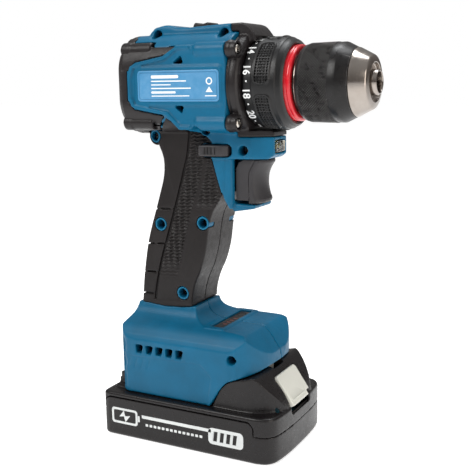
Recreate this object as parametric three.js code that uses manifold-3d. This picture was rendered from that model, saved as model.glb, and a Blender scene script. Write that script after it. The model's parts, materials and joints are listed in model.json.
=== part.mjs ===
// Pistol-grip cordless drill-driver on a slide-on battery pack, as an assembly of separate pieces.
// Millimetres. The origin is the centre of the battery's underside, +X runs along the spindle
// towards the chuck and +Z is up. The -Y side is the right-hand side of the tool.
import * as THREE from "three";
import { mergeVertices } from "three/addons/utils/BufferGeometryUtils.js";
import Module from "manifold-3d";

const wasm = await Module();
wasm.setup();

// Overall
const AXIS_Z = 213.5;
const GAP = 0.3;
const FAR = 400;

// Barrel of the housing
const BARREL_REAR_X = -38;
const BARREL_FRONT_X = 26.4;
const BARREL_HALF_WIDTH = 28.3;
const BARREL_HALF_HEIGHT = 28.5;
const BARREL_CORNER_R = 19;
const MOTOR_BORE_R = 25.2;
const SKIN = 1.8;
const RIDGE_HALF_WIDTH = 13;

// Rear cover
const COVER_REAR_X = -54;
const COVER_EDGE = 9;
const REAR_BOSS = { y: 22, top: 19.7, bottom: -21.5, r: 4.1, x0: -45.5, x1: -22 };
const FRONT_BOSS = { y: 26, top: 18.6, bottom: -21.2, r: 4.4 };

// Handle, grip and base
const HANDLE_HALF_WIDTH = 16.6;
const HANDLE_ROUND = 9;
const GRIP_THICKNESS = 2.2;
const BASE_HALF_WIDTH = 33.5;
const BASE_BOTTOM_Z = 28.3;

// Slide rail: the battery's foot, neck and head run in the bay under the base
const RAIL_FOOT = { half: 28.4, top: 30 };
const RAIL_NECK = { half: 24.6, top: 33 };
const RAIL_HEAD = { half: 28.2, top: 38.4 };
const RAIL_PLAY = 0.4;
const BAY_TOP_Z = 41;

// Screws: clamshell screws run along Y, the others along X
const SCREW_HEAD_R = 2.4;
const SCREW_HEAD_LENGTH = 2.2;
const SCREW_SHANK_R = 1.3;
const SCREW_HOLE_CLEAR_R = 1.9;
const SCREW_BOSS_R = 3.6;
const SCREW_HOLE_R = 2.8;
const CLAMSHELL_SCREWS = [
  [-25.7, 241.9, 12.9],
  [17.9, 241.4, 12.9],
  [7.2, 188, 19],
  [29.1, 176.4, 13.5],
  [-28.7, 183.8, 16],
  [3.1, 133.5, 15],
  [-25.9, 131.1, 15],
  [-11.7, 89.8, 16],
  [29.2, 58.2, 30],
];

// Gear train: two equal planetary stages inside one fixed ring gear
const SUN_TEETH = 9;
const PLANET_TEETH = 12;
const RING_TEETH = 33;
const RING_PITCH_R = 16.8;
const MODULE = (2 * RING_PITCH_R) / RING_TEETH;
const SUN_PITCH_R = (MODULE * SUN_TEETH) / 2;
const PLANET_PITCH_R = (MODULE * PLANET_TEETH) / 2;
const PLANET_ORBIT_R = SUN_PITCH_R + PLANET_PITCH_R;
const ADDENDUM = 0.7;
const DEDENDUM = 1.1;
const PIN_R = 1.6;
const STAGE_1_X = [4.2, 11.2];
const STAGE_2_X = [16, 23.4];

// Chuck and collar
const BORE_R = 5.5;
const JAW_R = 3;
const JAW_TILT = THREE.MathUtils.degToRad(15);
const JAW_TRAVEL = 18.5;
const JAW_TIP_X = 100.5;
const JAW_LENGTH = 19;
const SPINDLE_R = 6.9;
const NOSE_TUBE_R = 17;
const FLANGE_X = [26.8, 33.2];
const FRONT_SCREW_SEAT_X = 30.8;
const COLLAR_INNER_R = 21.4;
const COLLAR_PADS = 5;

// Battery pack
const PACK_HALF_LENGTH = 57.5;
const PACK_HALF_WIDTH = 38;
const PACK_SEAM_Z = 17;
const PACK_DECK_Z = 28;
const PACK_WALL = 2.4;
const CELL_R = 9.1;
const CELL_PITCH = 19;
const CELL_COUNT = 5;
const BUTTON_ANGLE = Math.atan2(21, 14.3);
const BUTTON_CENTRE = [53.1, 36.2];
const BUTTON_TRAVEL = 4;

// ---------------------------------------------------------------- helpers

// A closed geometry as a solid: shared vertices are merged and collapsed faces dropped.
function solid(geometry) {
  const bare = new THREE.BufferGeometry();
  bare.setAttribute("position", geometry.getAttribute("position"));
  if (geometry.index) bare.setIndex(geometry.index);
  const merged = mergeVertices(bare, 1e-4);
  const index = merged.index.array;
  const faces = [];
  for (let i = 0; i < index.length; i += 3) {
    const [a, b, c] = [index[i], index[i + 1], index[i + 2]];
    if (a !== b && b !== c && a !== c) faces.push(a, b, c);
  }
  const build = (triangles) =>
    new wasm.Manifold(
      new wasm.Mesh({
        numProp: 3,
        vertProperties: new Float32Array(merged.attributes.position.array),
        triVerts: new Uint32Array(triangles),
      }),
    );
  const made = build(faces);
  if (made.volume() > 0) return made;
  for (let i = 0; i < faces.length; i += 3) {
    [faces[i + 1], faces[i + 2]] = [faces[i + 2], faces[i + 1]];
  }
  return build(faces);
}

function geometryOf(body) {
  const mesh = body.getMesh();
  const geometry = new THREE.BufferGeometry();
  geometry.setAttribute("position", new THREE.BufferAttribute(mesh.vertProperties, 3));
  geometry.setIndex(new THREE.BufferAttribute(mesh.triVerts, 1));
  geometry.computeVertexNormals();
  return geometry;
}

const union = (...bodies) => bodies.reduce((sum, body) => sum.add(body));

// The [y, height above the spindle line] of the four screws of a corner pattern.
const corners = ({ y, top, bottom }) => [[-y, top], [-y, bottom], [y, top], [y, bottom]];

function outline(points) {
  return new THREE.Shape(points.map(([a, b]) => new THREE.Vector2(a, b)));
}

function roundedRect(centreA, centreB, halfA, halfB, radius) {
  const shape = new THREE.Shape();
  const [left, right] = [centreA - halfA + radius, centreA + halfA - radius];
  const [low, high] = [centreB - halfB + radius, centreB + halfB - radius];
  shape.absarc(right, low, radius, -Math.PI / 2, 0);
  shape.absarc(right, high, radius, 0, Math.PI / 2);
  shape.absarc(left, high, radius, Math.PI / 2, Math.PI);
  shape.absarc(left, low, radius, Math.PI, 1.5 * Math.PI);
  return shape;
}

// An extruded plate from 0 to thickness along local Z, with rounded rims when round is given.
function plate(shape, thickness, round = 0, inset = 0, curveSegments = 6) {
  const geometry = new THREE.ExtrudeGeometry(shape, {
    depth: thickness - 2 * round,
    bevelEnabled: round > 0,
    bevelThickness: round,
    bevelSize: round,
    bevelOffset: -round - inset,
    bevelSegments: 2,
    curveSegments,
  });
  return geometry.translate(0, 0, round);
}

// Plates whose outline lies in XZ, YZ or XY, spanning the given range of the third axis.
function slabY(shape, y0, y1, round, inset, curveSegments) {
  const geometry = plate(shape, y1 - y0, round, inset, curveSegments);
  return solid(geometry.rotateX(Math.PI / 2).translate(0, y1, 0));
}

function slabX(shape, x0, x1, round, inset, curveSegments) {
  const turn = new THREE.Matrix4().makeBasis(
    new THREE.Vector3(0, 1, 0),
    new THREE.Vector3(0, 0, 1),
    new THREE.Vector3(1, 0, 0),
  );
  const geometry = plate(shape, x1 - x0, round, inset, curveSegments);
  return solid(geometry.applyMatrix4(turn).translate(x0, 0, 0));
}

function slabZ(shape, z0, z1, round, inset, curveSegments) {
  return solid(plate(shape, z1 - z0, round, inset, curveSegments).translate(0, 0, z0));
}

function block(x0, x1, y0, y1, z0, z1) {
  const geometry = new THREE.BoxGeometry(x1 - x0, y1 - y0, z1 - z0);
  return solid(geometry.translate((x0 + x1) / 2, (y0 + y1) / 2, (z0 + z1) / 2));
}

function pegX(x0, x1, r, y, z, sides = 10) {
  const geometry = new THREE.CylinderGeometry(r, r, x1 - x0, sides).rotateZ(-Math.PI / 2);
  return solid(geometry.translate((x0 + x1) / 2, y, z));
}

function pegY(y0, y1, r, x, z, sides = 10) {
  const geometry = new THREE.CylinderGeometry(r, r, y1 - y0, sides);
  return solid(geometry.translate(x, (y0 + y1) / 2, z));
}

// A body turned about the X axis from [x, radius] points.
function turned(points, sides = 28) {
  const profile = points.map(([x, r]) => new THREE.Vector2(r, x));
  return solid(new THREE.LatheGeometry(profile, sides).rotateZ(-Math.PI / 2));
}

function ring(x0, x1, inner, outer, sides = 28) {
  return turned([[x0, inner], [x1, inner], [x1, outer], [x0, outer], [x0, inner]], sides);
}

function disc(x0, x1, r, sides = 28) {
  return turned([[x0, 0], [x0, r], [x1, r], [x1, 0]], sides);
}

function spring(radius, wire, turns, length) {
  const points = [];
  const perTurn = 8;
  for (let i = 0; i <= turns * perTurn; i++) {
    const angle = (2 * Math.PI * i) / perTurn;
    const along = (length * i) / (turns * perTurn);
    points.push(
      new THREE.Vector3(along, radius * Math.cos(angle), radius * Math.sin(angle)),
    );
  }
  const section = new THREE.Shape();
  section.absarc(0, 0, wire, 0, 2 * Math.PI);
  return new THREE.ExtrudeGeometry(section, {
    extrudePath: new THREE.CatmullRomCurve3(points),
    steps: turns * perTurn,
    curveSegments: 3,
  });
}

// A toothed outline. Straight-flanked teeth, the first one centred on local +X.
function gearShape(teeth, pitchR, tipR, rootR) {
  const pitch = (2 * Math.PI) / teeth;
  const rootHalf = pitch * 0.27;
  const tipHalf = pitch * 0.1;
  const points = [];
  for (let i = 0; i < teeth; i++) {
    const centre = i * pitch;
    for (const [radius, angle] of [
      [rootR, centre - rootHalf],
      [tipR, centre - tipHalf],
      [tipR, centre + tipHalf],
      [rootR, centre + rootHalf],
    ]) {
      points.push([radius * Math.cos(angle), radius * Math.sin(angle)]);
    }
  }
  return outline(points);
}

function gear(teeth, pitchR, x0, x1) {
  return slabX(gearShape(teeth, pitchR, pitchR + ADDENDUM, pitchR - DEDENDUM), x0, x1);
}

const PALETTE = {
  blue: [0x1178a8, 0.45, 0],
  black: [0x2a2526, 0.55, 0],
  rubber: [0x241f20, 0.8, 0],
  label: [0x5fa6d6, 0.4, 0],
  red: [0xd8142a, 0.4, 0],
  steel: [0xa9a6a2, 0.3, 1],
  darkSteel: [0x3a3838, 0.4, 1],
  white: [0xe9e8df, 0.45, 0],
  clear: [0xdfe4d8, 0.15, 0],
  copper: [0xb4652c, 0.4, 1],
  board: [0x1d5b35, 0.5, 0],
  cell: [0x3f7f9c, 0.4, 0],
  grey: [0x4b4848, 0.5, 0],
};

function piece(parent, name, geometry, look, position = [0, 0, 0], rotation = [0, 0, 0]) {
  const [color, roughness, metalness] = PALETTE[look];
  const material = new THREE.MeshStandardMaterial({ color, roughness, metalness });
  const mesh = new THREE.Mesh(geometry, material);
  mesh.name = name;
  mesh.position.set(...position);
  mesh.rotation.set(...rotation);
  parent.add(mesh);
  return mesh;
}

const drill = new THREE.Group();
const spindleLine = new THREE.Group();
spindleLine.position.z = AXIS_Z;
drill.add(spindleLine);

// ---------------------------------------------------------------- housing outlines

const barrel = (x0, x1, inset = 0, round = 0) =>
  slabX(
    roundedRect(0, AXIS_Z, BARREL_HALF_WIDTH - inset, BARREL_HALF_HEIGHT - inset, BARREL_CORNER_R - inset),
    x0,
    x1,
    round,
    0,
    3,
  );

function handleShape() {
  const shape = new THREE.Shape();
  shape.moveTo(-38, 212);
  shape.lineTo(-31, 179);
  shape.splineThru([
    new THREE.Vector2(-27.6, 168),
    new THREE.Vector2(-30.8, 150),
    new THREE.Vector2(-37.5, 129),
    new THREE.Vector2(-42.6, 104),
    new THREE.Vector2(-45.6, 86),
  ]);
  shape.lineTo(-47, 56);
  shape.lineTo(-1, 56);
  shape.lineTo(-1.6, 86);
  shape.splineThru([
    new THREE.Vector2(3.6, 102),
    new THREE.Vector2(9, 118),
    new THREE.Vector2(12.6, 136),
  ]);
  shape.lineTo(20, 150);
  shape.lineTo(22, 212);
  return shape;
}

function handle(inset = 0) {
  const half = HANDLE_HALF_WIDTH - inset;
  return slabY(handleShape(), -half, half, HANDLE_ROUND, inset, 2);
}

// The frame round the trigger: a flat-sided spine behind it and a lip under it.
function triggerFrame() {
  const spine = outline([[2, 190], [2, 171], [10, 141], [20.5, 141], [22.2, 147], [22.2, 190]]);
  const lip = outline([
    [8, 137.5], [19, 140.2], [34.5, 142.8], [35.2, 145], [27.5, 145.1], [10, 146.6],
  ]);
  return slabY(spine, -15, 15, 2.4).add(slabY(lip, -11.5, 11.5, 0.9));
}

function chin() {
  const side = outline([[2, 171.6], [41, 171.6], [46, 175], [46, 184], [26.4, 184], [26.4, 190], [2, 190]]);
  const plan = outline([
    [2, -18], [20, -16], [34, -13.5], [46, -8.4],
    [46, 8.4], [34, 13.5], [20, 16], [2, 18],
  ]);
  return slabY(side, -FAR, FAR).intersect(slabZ(plan, 0, FAR * 2));
}

function ridge() {
  const shape = outline([
    [-37, 232], [-36.4, 243.5], [-33, 246.6], [-28, 247.7], [-18.3, 247.5], [-12.5, 245.5],
    [-6.4, 245.5], [8, 246.2], [21.6, 246.8], [21.6, 232],
  ]);
  return slabY(shape, -RIDGE_HALF_WIDTH, RIDGE_HALF_WIDTH, 2);
}

function sidePanel(y0, y1) {
  const shape = outline([
    [-37, 219], [-32.4, 225.5], [-12.6, 229.4], [-4, 235], [22, 235], [26.2, 230],
    [26.2, 194], [22, 188.5], [-3, 188.5], [-11.5, 196.6], [-34.4, 200.4], [-37, 206],
  ]);
  return slabY(shape, y0, y1);
}

function base() {
  const side = outline([
    [-46.8, 92], [-47.2, 76], [-50, 68], [-51, 61], [-50, 56], [-51.3, 50.5], [-50, 45],
    [-51.3, 39.5], [-50, 34], [-50.5, BASE_BOTTOM_Z], [14.5, BASE_BOTTOM_Z], [21.5, 39.7],
    [27.1, 45.1], [39.5, 49], [46, 52.2], [45.2, 58], [36.5, 69.5], [31, 72], [8, 72.6],
    [1.5, 75.5], [-0.8, 92],
  ]);
  const front = outline([
    [-15.9, 92], [-17.5, 78], [-23, 73.5], [-29.5, 69.5], [-BASE_HALF_WIDTH, 64.5],
    [-BASE_HALF_WIDTH, 20], [BASE_HALF_WIDTH, 20], [BASE_HALF_WIDTH, 64.5], [29.5, 69.5],
    [23, 73.5], [17.5, 78], [15.9, 92],
  ]);
  const plan = outline([
    [-52, -27], [-46, -BASE_HALF_WIDTH], [33, -BASE_HALF_WIDTH], [42, -28], [46.5, -14],
    [46.5, 14], [42, 28], [33, BASE_HALF_WIDTH], [-46, BASE_HALF_WIDTH], [-52, 27],
  ]);
  return slabY(side, -FAR, FAR).intersect(slabX(front, -FAR, FAR)).intersect(slabZ(plan, 0, FAR));
}

// Side view of the area the soft grip covers.
function gripArea(grow) {
  return slabY(
    outline([
      [-70, 185.4 + grow], [-22, 187 + grow], [-14, 195 + grow], [-3.4 + grow, 186.8 + grow],
      [5 + grow, 186 + grow], [10.4 + grow, 181], [9.6 + grow, 171], [16.6 + grow, 148],
      [21 + grow, 141], [21 + grow, 137], [60, 137], [60, 84 - grow], [0, 83 - grow],
      [-26, 80.4 - grow], [-70, 84 - grow],
    ]),
    -FAR,
    FAR,
  );
}

// Side view of the areas that the rear cover's two forward tongues take on each flank.
function tongueArea(grow) {
  const upper = outline([
    [-60, 241], [-36.8 + grow, 240], [-36.8 + grow, 234.5 + grow], [-4.5 + 4 * grow, 234.5 + grow],
    [-12.4, 230 - grow],
    [-32.6, 226.4 - grow], [-37.4, 222 - grow], [-60, 222 - grow],
  ]);
  const lower = outline([
    [-60, 204 + grow], [-37.2, 204 + grow], [-34.2, 199.6 + grow], [-15 + 2 * grow, 196.1 + grow],
    [-22.4 + 2 * grow, 187.4 - grow], [-60, 185.8 - grow],
  ]);
  return slabY(upper, -FAR, FAR).add(slabY(lower, -FAR, FAR));
}

// ---------------------------------------------------------------- clamshell halves and grips

function housingShell() {
  const outer = union(
    barrel(BARREL_REAR_X, BARREL_FRONT_X),
    ridge(),
    sidePanel(-29.6, 29.6),
    handle(),
    triggerFrame(),
    chin(),
    base(),
  );
  const gripShell = gripArea(GAP)
    .subtract(handle(GRIP_THICKNESS + GAP))
    .subtract(barrel(-FAR, FAR, SKIN + GAP));
  const tongues = tongueArea(GAP).subtract(barrel(-FAR, FAR, SKIN + GAP));
  return outer.subtract(gripShell).subtract(tongues);
}

function railBay({ half }, z0, z1) {
  return block(-FAR, FAR, -half - RAIL_PLAY, half + RAIL_PLAY, z0, z1);
}

function housingCavities() {
  const handleBay = outline([
    [-24, 200], [-20, 178], [-21, 165], [-25.5, 145], [-32, 122], [-37, 98], [-39, 60],
    [-8, 60], [-8, 88], [-2, 104], [3, 120], [5, 138], [14, 149], [14, 171.8], [26, 175],
    [26, 190],
  ]);
  const boardBay = outline([[-44, 44], [30, 47.6], [34, 60], [28, 66], [-40, 66], [-46, 62]]);
  const panelPocket = block(9.2, 17.2, -19.6, 19.6, 69.6, 80);
  return union(
    pegX(BARREL_REAR_X - 1, FAR, MOTOR_BORE_R, 0, AXIS_Z, 28),
    slabY(handleBay, -10.6, 10.6),
    slabY(boardBay, -28, 28),
    railBay(RAIL_FOOT, 20, RAIL_FOOT.top + GAP),
    railBay(RAIL_NECK, 20, RAIL_NECK.top),
    railBay(RAIL_HEAD, RAIL_NECK.top - GAP, BAY_TOP_Z),
    block(-36, -6, -14, 14, BAY_TOP_Z - 1, 46),
    block(22, FAR, -8, 8, 40, 50.2),
    panelPocket,
  );
}

function housingWindows() {
  const ports = [
    block(14.4, FAR, -11.4, 11.4, 146.9, 171.3),
    block(12, 16, -5.4, 5.4, 155.6, 164.4),
    block(7.4, 26.6, -FAR, FAR, 172.6, 180),
    block(-14.2, 6.2, -6.4, 6.4, 240, FAR),
    block(42, FAR, -6.6, 6.6, 174.6, 182.2),
    block(38.4, 44, -3.4, 3.4, 176, 180.8),
  ];
  for (let i = 0; i < 5; i++) {
    const x = -35.6 + i * 7;
    const slot = outline([[x, 54], [x + 3.6, 54], [x + 5, 59.4], [x - 0.4, 59.4]]);
    ports.push(slabY(slot, -FAR, FAR));
  }
  for (const [z, tip] of [[225, 229.6], [202, 197.6]]) {
    ports.push(slabY(outline([[-7.5, z], [0, z], [-1.5, tip]]), -FAR, FAR));
  }
  return union(...ports);
}

function clamshellBosses() {
  return union(
    ...CLAMSHELL_SCREWS.map(([x, z, reach]) => pegY(-reach + 1, reach - 1, SCREW_BOSS_R, x, z, 8)),
  );
}

// Four round pegs along X at the corners of a screw pattern, at the given spindle height.
function cornerPegs(pattern, x0, x1, r, axisZ, sides) {
  return union(...corners(pattern).map(([y, dz]) => pegX(x0, x1, r, y, axisZ + dz, sides)));
}

function screwHoles() {
  const holes = [];
  for (const [x, z, reach] of CLAMSHELL_SCREWS) {
    holes.push(pegY(-FAR, -reach + 7, SCREW_HOLE_R, x, z, 8));
    holes.push(pegY(-FAR, Math.min(reach - 3, 8), SCREW_HOLE_CLEAR_R, x, z, 6));
  }
  holes.push(cornerPegs(REAR_BOSS, -FAR, -14, SCREW_HOLE_CLEAR_R, AXIS_Z, 6));
  holes.push(cornerPegs(FRONT_BOSS, 12, FAR, SCREW_HOLE_CLEAR_R, AXIS_Z, 6));
  return union(...holes);
}

// Recesses behind the label plates, one on each flank.
function labelRecesses() {
  const shape = roundedRect(-2, 212.9, 27, 9.2, 2);
  return slabY(shape, -FAR, -28.6, 0, 0, 3).add(slabY(shape, 28.6, FAR, 0, 0, 3));
}

const rightHalf = block(-FAR, FAR, -FAR, -GAP / 2, -FAR, 2 * FAR);
const leftHalf = block(-FAR, FAR, GAP / 2, FAR, -FAR, 2 * FAR);

const shell = housingShell();
const hollow = shell.subtract(housingCavities());
const rearPegs = cornerPegs(REAR_BOSS, REAR_BOSS.x1 + 2 * GAP, -12, 3.9, AXIS_Z);
const bossed = hollow
  .add(clamshellBosses().add(rearPegs).intersect(shell))
  .add(cornerPegs(FRONT_BOSS, 7.6, BARREL_FRONT_X - 2.6, FRONT_BOSS.r, AXIS_Z))
  .subtract(cornerPegs(REAR_BOSS, -FAR, REAR_BOSS.x1 + GAP, REAR_BOSS.r + GAP, AXIS_Z))
  .subtract(pegX(BARREL_REAR_X - 1, FAR, MOTOR_BORE_R, 0, AXIS_Z, 28))
  .subtract(housingWindows())
  .subtract(labelRecesses())
  .subtract(screwHoles());
const largest = (body) =>
  body.decompose().reduce((best, part) => (part.volume() > best.volume() ? part : best));
piece(drill, "right_housing", geometryOf(largest(bossed.intersect(rightHalf))), "blue");
piece(drill, "left_housing", geometryOf(largest(bossed.intersect(leftHalf))), "blue");

function gripSkin() {
  const outer = handle().add(barrel(BARREL_REAR_X + GAP, BARREL_FRONT_X));
  const skin = outer
    .subtract(handle(GRIP_THICKNESS))
    .subtract(barrel(-FAR, FAR, SKIN))
    .intersect(gripArea(0));
  const rings = CLAMSHELL_SCREWS.map(([x, z]) => pegY(-FAR, FAR, SCREW_BOSS_R + GAP + 0.3, x, z));
  return skin
    .subtract(union(...rings))
    .subtract(block(7, 27, -FAR, FAR, 172.2, 180.4));
}

const grip = gripSkin();
piece(drill, "right_grip", geometryOf(largest(grip.intersect(rightHalf))), "rubber");
piece(drill, "left_grip", geometryOf(largest(grip.intersect(leftHalf))), "rubber");

// ---------------------------------------------------------------- rear cover and label plates

function rearCover() {
  const cap = barrel(COVER_REAR_X, BARREL_REAR_X + 2 * COVER_EDGE, 0, COVER_EDGE);
  const rearOnly = block(-FAR, BARREL_REAR_X - GAP, -FAR, FAR, 0, 2 * FAR);
  const tongues = barrel(BARREL_REAR_X - 4, FAR)
    .subtract(barrel(-FAR, FAR, SKIN))
    .intersect(tongueArea(0));
  const holes = [
    cornerPegs(REAR_BOSS, -FAR, REAR_BOSS.x0 + 3, SCREW_HEAD_R + GAP, AXIS_Z),
    cornerPegs(REAR_BOSS, -FAR, FAR, SCREW_HOLE_CLEAR_R, AXIS_Z, 6),
  ];
  for (let i = 0; i < 5; i++) {
    const y = -12 + i * 6;
    holes.push(block(COVER_REAR_X - 1, COVER_REAR_X + 4, y - 1, y + 1, 203, 224));
  }
  return cap
    .intersect(rearOnly)
    .add(tongues)
    .add(cornerPegs(REAR_BOSS, REAR_BOSS.x0, REAR_BOSS.x1, REAR_BOSS.r, AXIS_Z))
    .subtract(pegX(-51, FAR, 24.6, 0, AXIS_Z, 28))
    .add(pegX(-51.5, -45, 11, 0, AXIS_Z, 24))
    .subtract(pegX(-50.6, FAR, 8.3, 0, AXIS_Z, 24))
    .subtract(union(...holes));
}

piece(drill, "rear_cover", geometryOf(largest(rearCover())), "black");

const labelShape = roundedRect(-2, 212.9, 26.4, 8.6, 2);
const labelPlate = geometryOf(slabY(labelShape, -0.5, 0.5, 0, 0, 3));
piece(drill, "right_label_plate", labelPlate, "label", [0, -29.5, 0]);
piece(drill, "left_label_plate", labelPlate.clone(), "label", [0, 29.5, 0]);

// ---------------------------------------------------------------- gearbox case

function gearboxDome() {
  const shape = outline([
    [21.9, 16], [21.9, 33.2], [28.7, 33.2], [33, 30.6], [37, 26.2], [37, 16],
  ]);
  return slabY(shape, -12, 12, 1.5);
}

function gearboxLip() {
  const side = outline([[26.8, -29.2], [26.8, -24], [33, -24], [33, -26], [46, -26], [46, -29.2]]);
  const plan = outline([[26, -16], [34, -14], [46, -8.6], [46, 8.6], [34, 14], [26, 16]]);
  return slabY(side, -FAR, FAR).intersect(slabZ(plan, -FAR, FAR));
}

function gearboxCase() {
  const body = turned([
    [2.4, 20.3], [28, 20.3], [28, 7.2], [60, 7.2], [60, NOSE_TUBE_R], [34, NOSE_TUBE_R],
    [34, 25], [33, 28.4], [30.5, 29.4], [FLANGE_X[0], 29.4], [FLANGE_X[0], 21.5], [2.4, 21.5],
    [2.4, 20.3],
  ]);
  return body
    .add(gearboxDome().subtract(block(0, FLANGE_X[0], -20, 20, 0, 28.9)))
    .add(gearboxLip())
    .add(cornerPegs(FRONT_BOSS, FLANGE_X[0], FLANGE_X[1], FRONT_BOSS.r + 0.2, 0))
    .subtract(ring(FLANGE_X[1] + GAP, 70, NOSE_TUBE_R, 25.7))
    .subtract(disc(0, 28, 20.3))
    .subtract(cornerPegs(FRONT_BOSS, 20, FLANGE_X[1], SCREW_HOLE_CLEAR_R, 0, 6))
    .subtract(cornerPegs(FRONT_BOSS, FRONT_SCREW_SEAT_X, 35, SCREW_HEAD_R + 0.6, 0));
}

piece(spindleLine, "gearbox_case", geometryOf(largest(gearboxCase())), "black");

// ---------------------------------------------------------------- screws

// A pan-head screw along +X from the head's outer face, with a driving slot.
function screw(length) {
  const body = turned(
    [[0, 0], [0, SCREW_HEAD_R * 0.8], [0.6, SCREW_HEAD_R], [SCREW_HEAD_LENGTH, SCREW_HEAD_R],
      [SCREW_HEAD_LENGTH, SCREW_SHANK_R], [length, SCREW_SHANK_R], [length + 1, 0]],
    8,
  );
  return geometryOf(body.subtract(block(-1, 1, -0.4, 0.4, -3, 3)));
}

CLAMSHELL_SCREWS.forEach(([x, z, reach], i) => {
  const head = -reach + 4.2;
  const length = Math.min(reach - 3, 8) - 1.6 - head;
  const turn = [0, 0, Math.PI / 2];
  piece(drill, "clamshell_screw_" + (i + 1), screw(length), "darkSteel", [x, head, z], turn);
});

corners(REAR_BOSS).forEach(([y, dz], i) => {
  const head = REAR_BOSS.x0 + 3 - SCREW_HEAD_LENGTH - GAP;
  piece(spindleLine, "rear_screw_" + (i + 1), screw(25), "darkSteel", [head, y, dz]);
});

corners(FRONT_BOSS).forEach(([y, dz], i) => {
  const head = FRONT_SCREW_SEAT_X + GAP + SCREW_HEAD_LENGTH;
  const turn = [0, 0, Math.PI];
  piece(spindleLine, "gearbox_screw_" + (i + 1), screw(18), "steel", [head, y, dz], turn);
});

// ---------------------------------------------------------------- motor

function stator() {
  const slots = [];
  for (let i = 0; i < 6; i++) {
    const geometry = new THREE.CylinderGeometry(3.4, 3.4, 40, 6).rotateZ(-Math.PI / 2);
    geometry.translate(-23, 0, 17.8).rotateX((i * Math.PI) / 3);
    slots.push(solid(geometry));
  }
  return union(ring(-35, -13, 13.6, 24.3, 28), ring(-38, -10, 14.2, 17, 20)).subtract(
    union(...slots),
  );
}

function rotor() {
  const shaft = turned(
    [[-50, 0], [-50, 2.4], [-36, 2.4], [-36, 13], [-12, 13], [-12, 2.4], [3.2, 2.4], [3.2, 0]],
    24,
  );
  return shaft.add(gear(SUN_TEETH, SUN_PITCH_R, 3, STAGE_1_X[1]));
}

function fan() {
  const blades = [ring(-8, -6.6, 2.8, 23, 24), ring(-8, -2, 2.8, 6, 16)];
  for (let i = 0; i < 11; i++) {
    const geometry = new THREE.BoxGeometry(6.5, 1.2, 17.4).rotateZ(0.35);
    geometry.translate(-4.4, 0, 13.9).rotateX((i * 2 * Math.PI) / 11);
    blades.push(solid(geometry));
  }
  return union(...blades);
}

piece(spindleLine, "stator", geometryOf(stator()), "copper");
piece(spindleLine, "rotor", geometryOf(rotor()), "darkSteel");
piece(spindleLine, "fan", geometryOf(fan()), "black");
piece(spindleLine, "rear_bearing", geometryOf(ring(-50.2, -45.2, 2.7, 8, 24)), "steel");

// ---------------------------------------------------------------- gear train

function ringGear() {
  const teeth = gearShape(RING_TEETH, RING_PITCH_R, RING_PITCH_R - ADDENDUM, RING_PITCH_R + DEDENDUM);
  const bore = slabX(teeth, 2, 26);
  return disc(3.6, 24.2, 20, 24).subtract(bore);
}

function planet([x0, x1]) {
  const half = (x1 - x0) / 2;
  return gear(PLANET_TEETH, PLANET_PITCH_R, -half, half).subtract(disc(-10, 10, PIN_R + GAP, 12));
}

function pins(x0, x1) {
  const set = [];
  for (let i = 0; i < 3; i++) {
    const angle = (i * 2 * Math.PI) / 3;
    const [y, z] = [PLANET_ORBIT_R * Math.cos(angle), PLANET_ORBIT_R * Math.sin(angle)];
    set.push(pegX(x0, x1, PIN_R, y, z, 12));
  }
  return union(...set);
}

function firstCarrier() {
  return union(
    disc(11.8, 14.4, 13.2, 30),
    pins(STAGE_1_X[0] + 0.4, 12),
    gear(SUN_TEETH, SUN_PITCH_R, 14, STAGE_2_X[1]),
  );
}

function outputSpindle() {
  return union(
    disc(24.6, 27.6, 13.2, 30),
    pins(STAGE_2_X[0] + 0.4, 25),
    turned(
      [[27, 0], [27, SPINDLE_R], [60.9, SPINDLE_R], [60.9, 4.7], [69, 4.7], [70, 3.8], [70, 0]],
      30,
    ),
  );
}

piece(spindleLine, "ring_gear", geometryOf(ringGear()), "darkSteel");
piece(spindleLine, "first_carrier", geometryOf(firstCarrier()), "steel");
piece(spindleLine, "output_spindle", geometryOf(outputSpindle()), "steel");
for (const [stage, span] of [["first", STAGE_1_X], ["second", STAGE_2_X]]) {
  for (let i = 0; i < 3; i++) {
    const angle = (i * 2 * Math.PI) / 3;
    const [y, z] = [PLANET_ORBIT_R * Math.cos(angle), PLANET_ORBIT_R * Math.sin(angle)];
    const centre = [(span[0] + span[1]) / 2, y, z];
    const mesh = angle + Math.PI + Math.PI / PLANET_TEETH;
    const name = stage + "_planet_" + (i + 1);
    piece(spindleLine, name, geometryOf(planet(span)), "steel", centre, [mesh, 0, 0]);
  }
}
piece(spindleLine, "clutch_spring", spring(19.9, 1, 3, 12), "steel", [37, 0, 0]);

// ---------------------------------------------------------------- torque collar and accent ring

function torqueCollar() {
  const body = turned(
    [[34.3, COLLAR_INNER_R], [57.4, COLLAR_INNER_R], [57.7, 22.4], [56, 24], [53.7, 25.2],
      [39.2, 25.4], [34.3, 24.2], [34.3, COLLAR_INNER_R]],
    40,
  );
  let pads = ring(40.8, 51.2, 23, 25.9, 40);
  for (let i = 0; i < COLLAR_PADS; i++) {
    const geometry = new THREE.BoxGeometry(20, 4.8, 8).translate(46, 0, 26);
    const angle = (i * 2 * Math.PI) / COLLAR_PADS + Math.PI / 2 + THREE.MathUtils.degToRad(7.3);
    pads = pads.subtract(solid(geometry.rotateX(angle)));
  }
  return body.add(pads);
}

piece(spindleLine, "torque_collar", geometryOf(torqueCollar()), "black");
const accent = turned(
  [[54.6, NOSE_TUBE_R + GAP], [60.6, NOSE_TUBE_R + GAP], [60.8, 20.2], [59.6, 20.9],
    [54.6, 20.9], [54.6, NOSE_TUBE_R + GAP]],
  36,
);
piece(spindleLine, "accent_ring", geometryOf(accent), "red");

// ---------------------------------------------------------------- chuck

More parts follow.
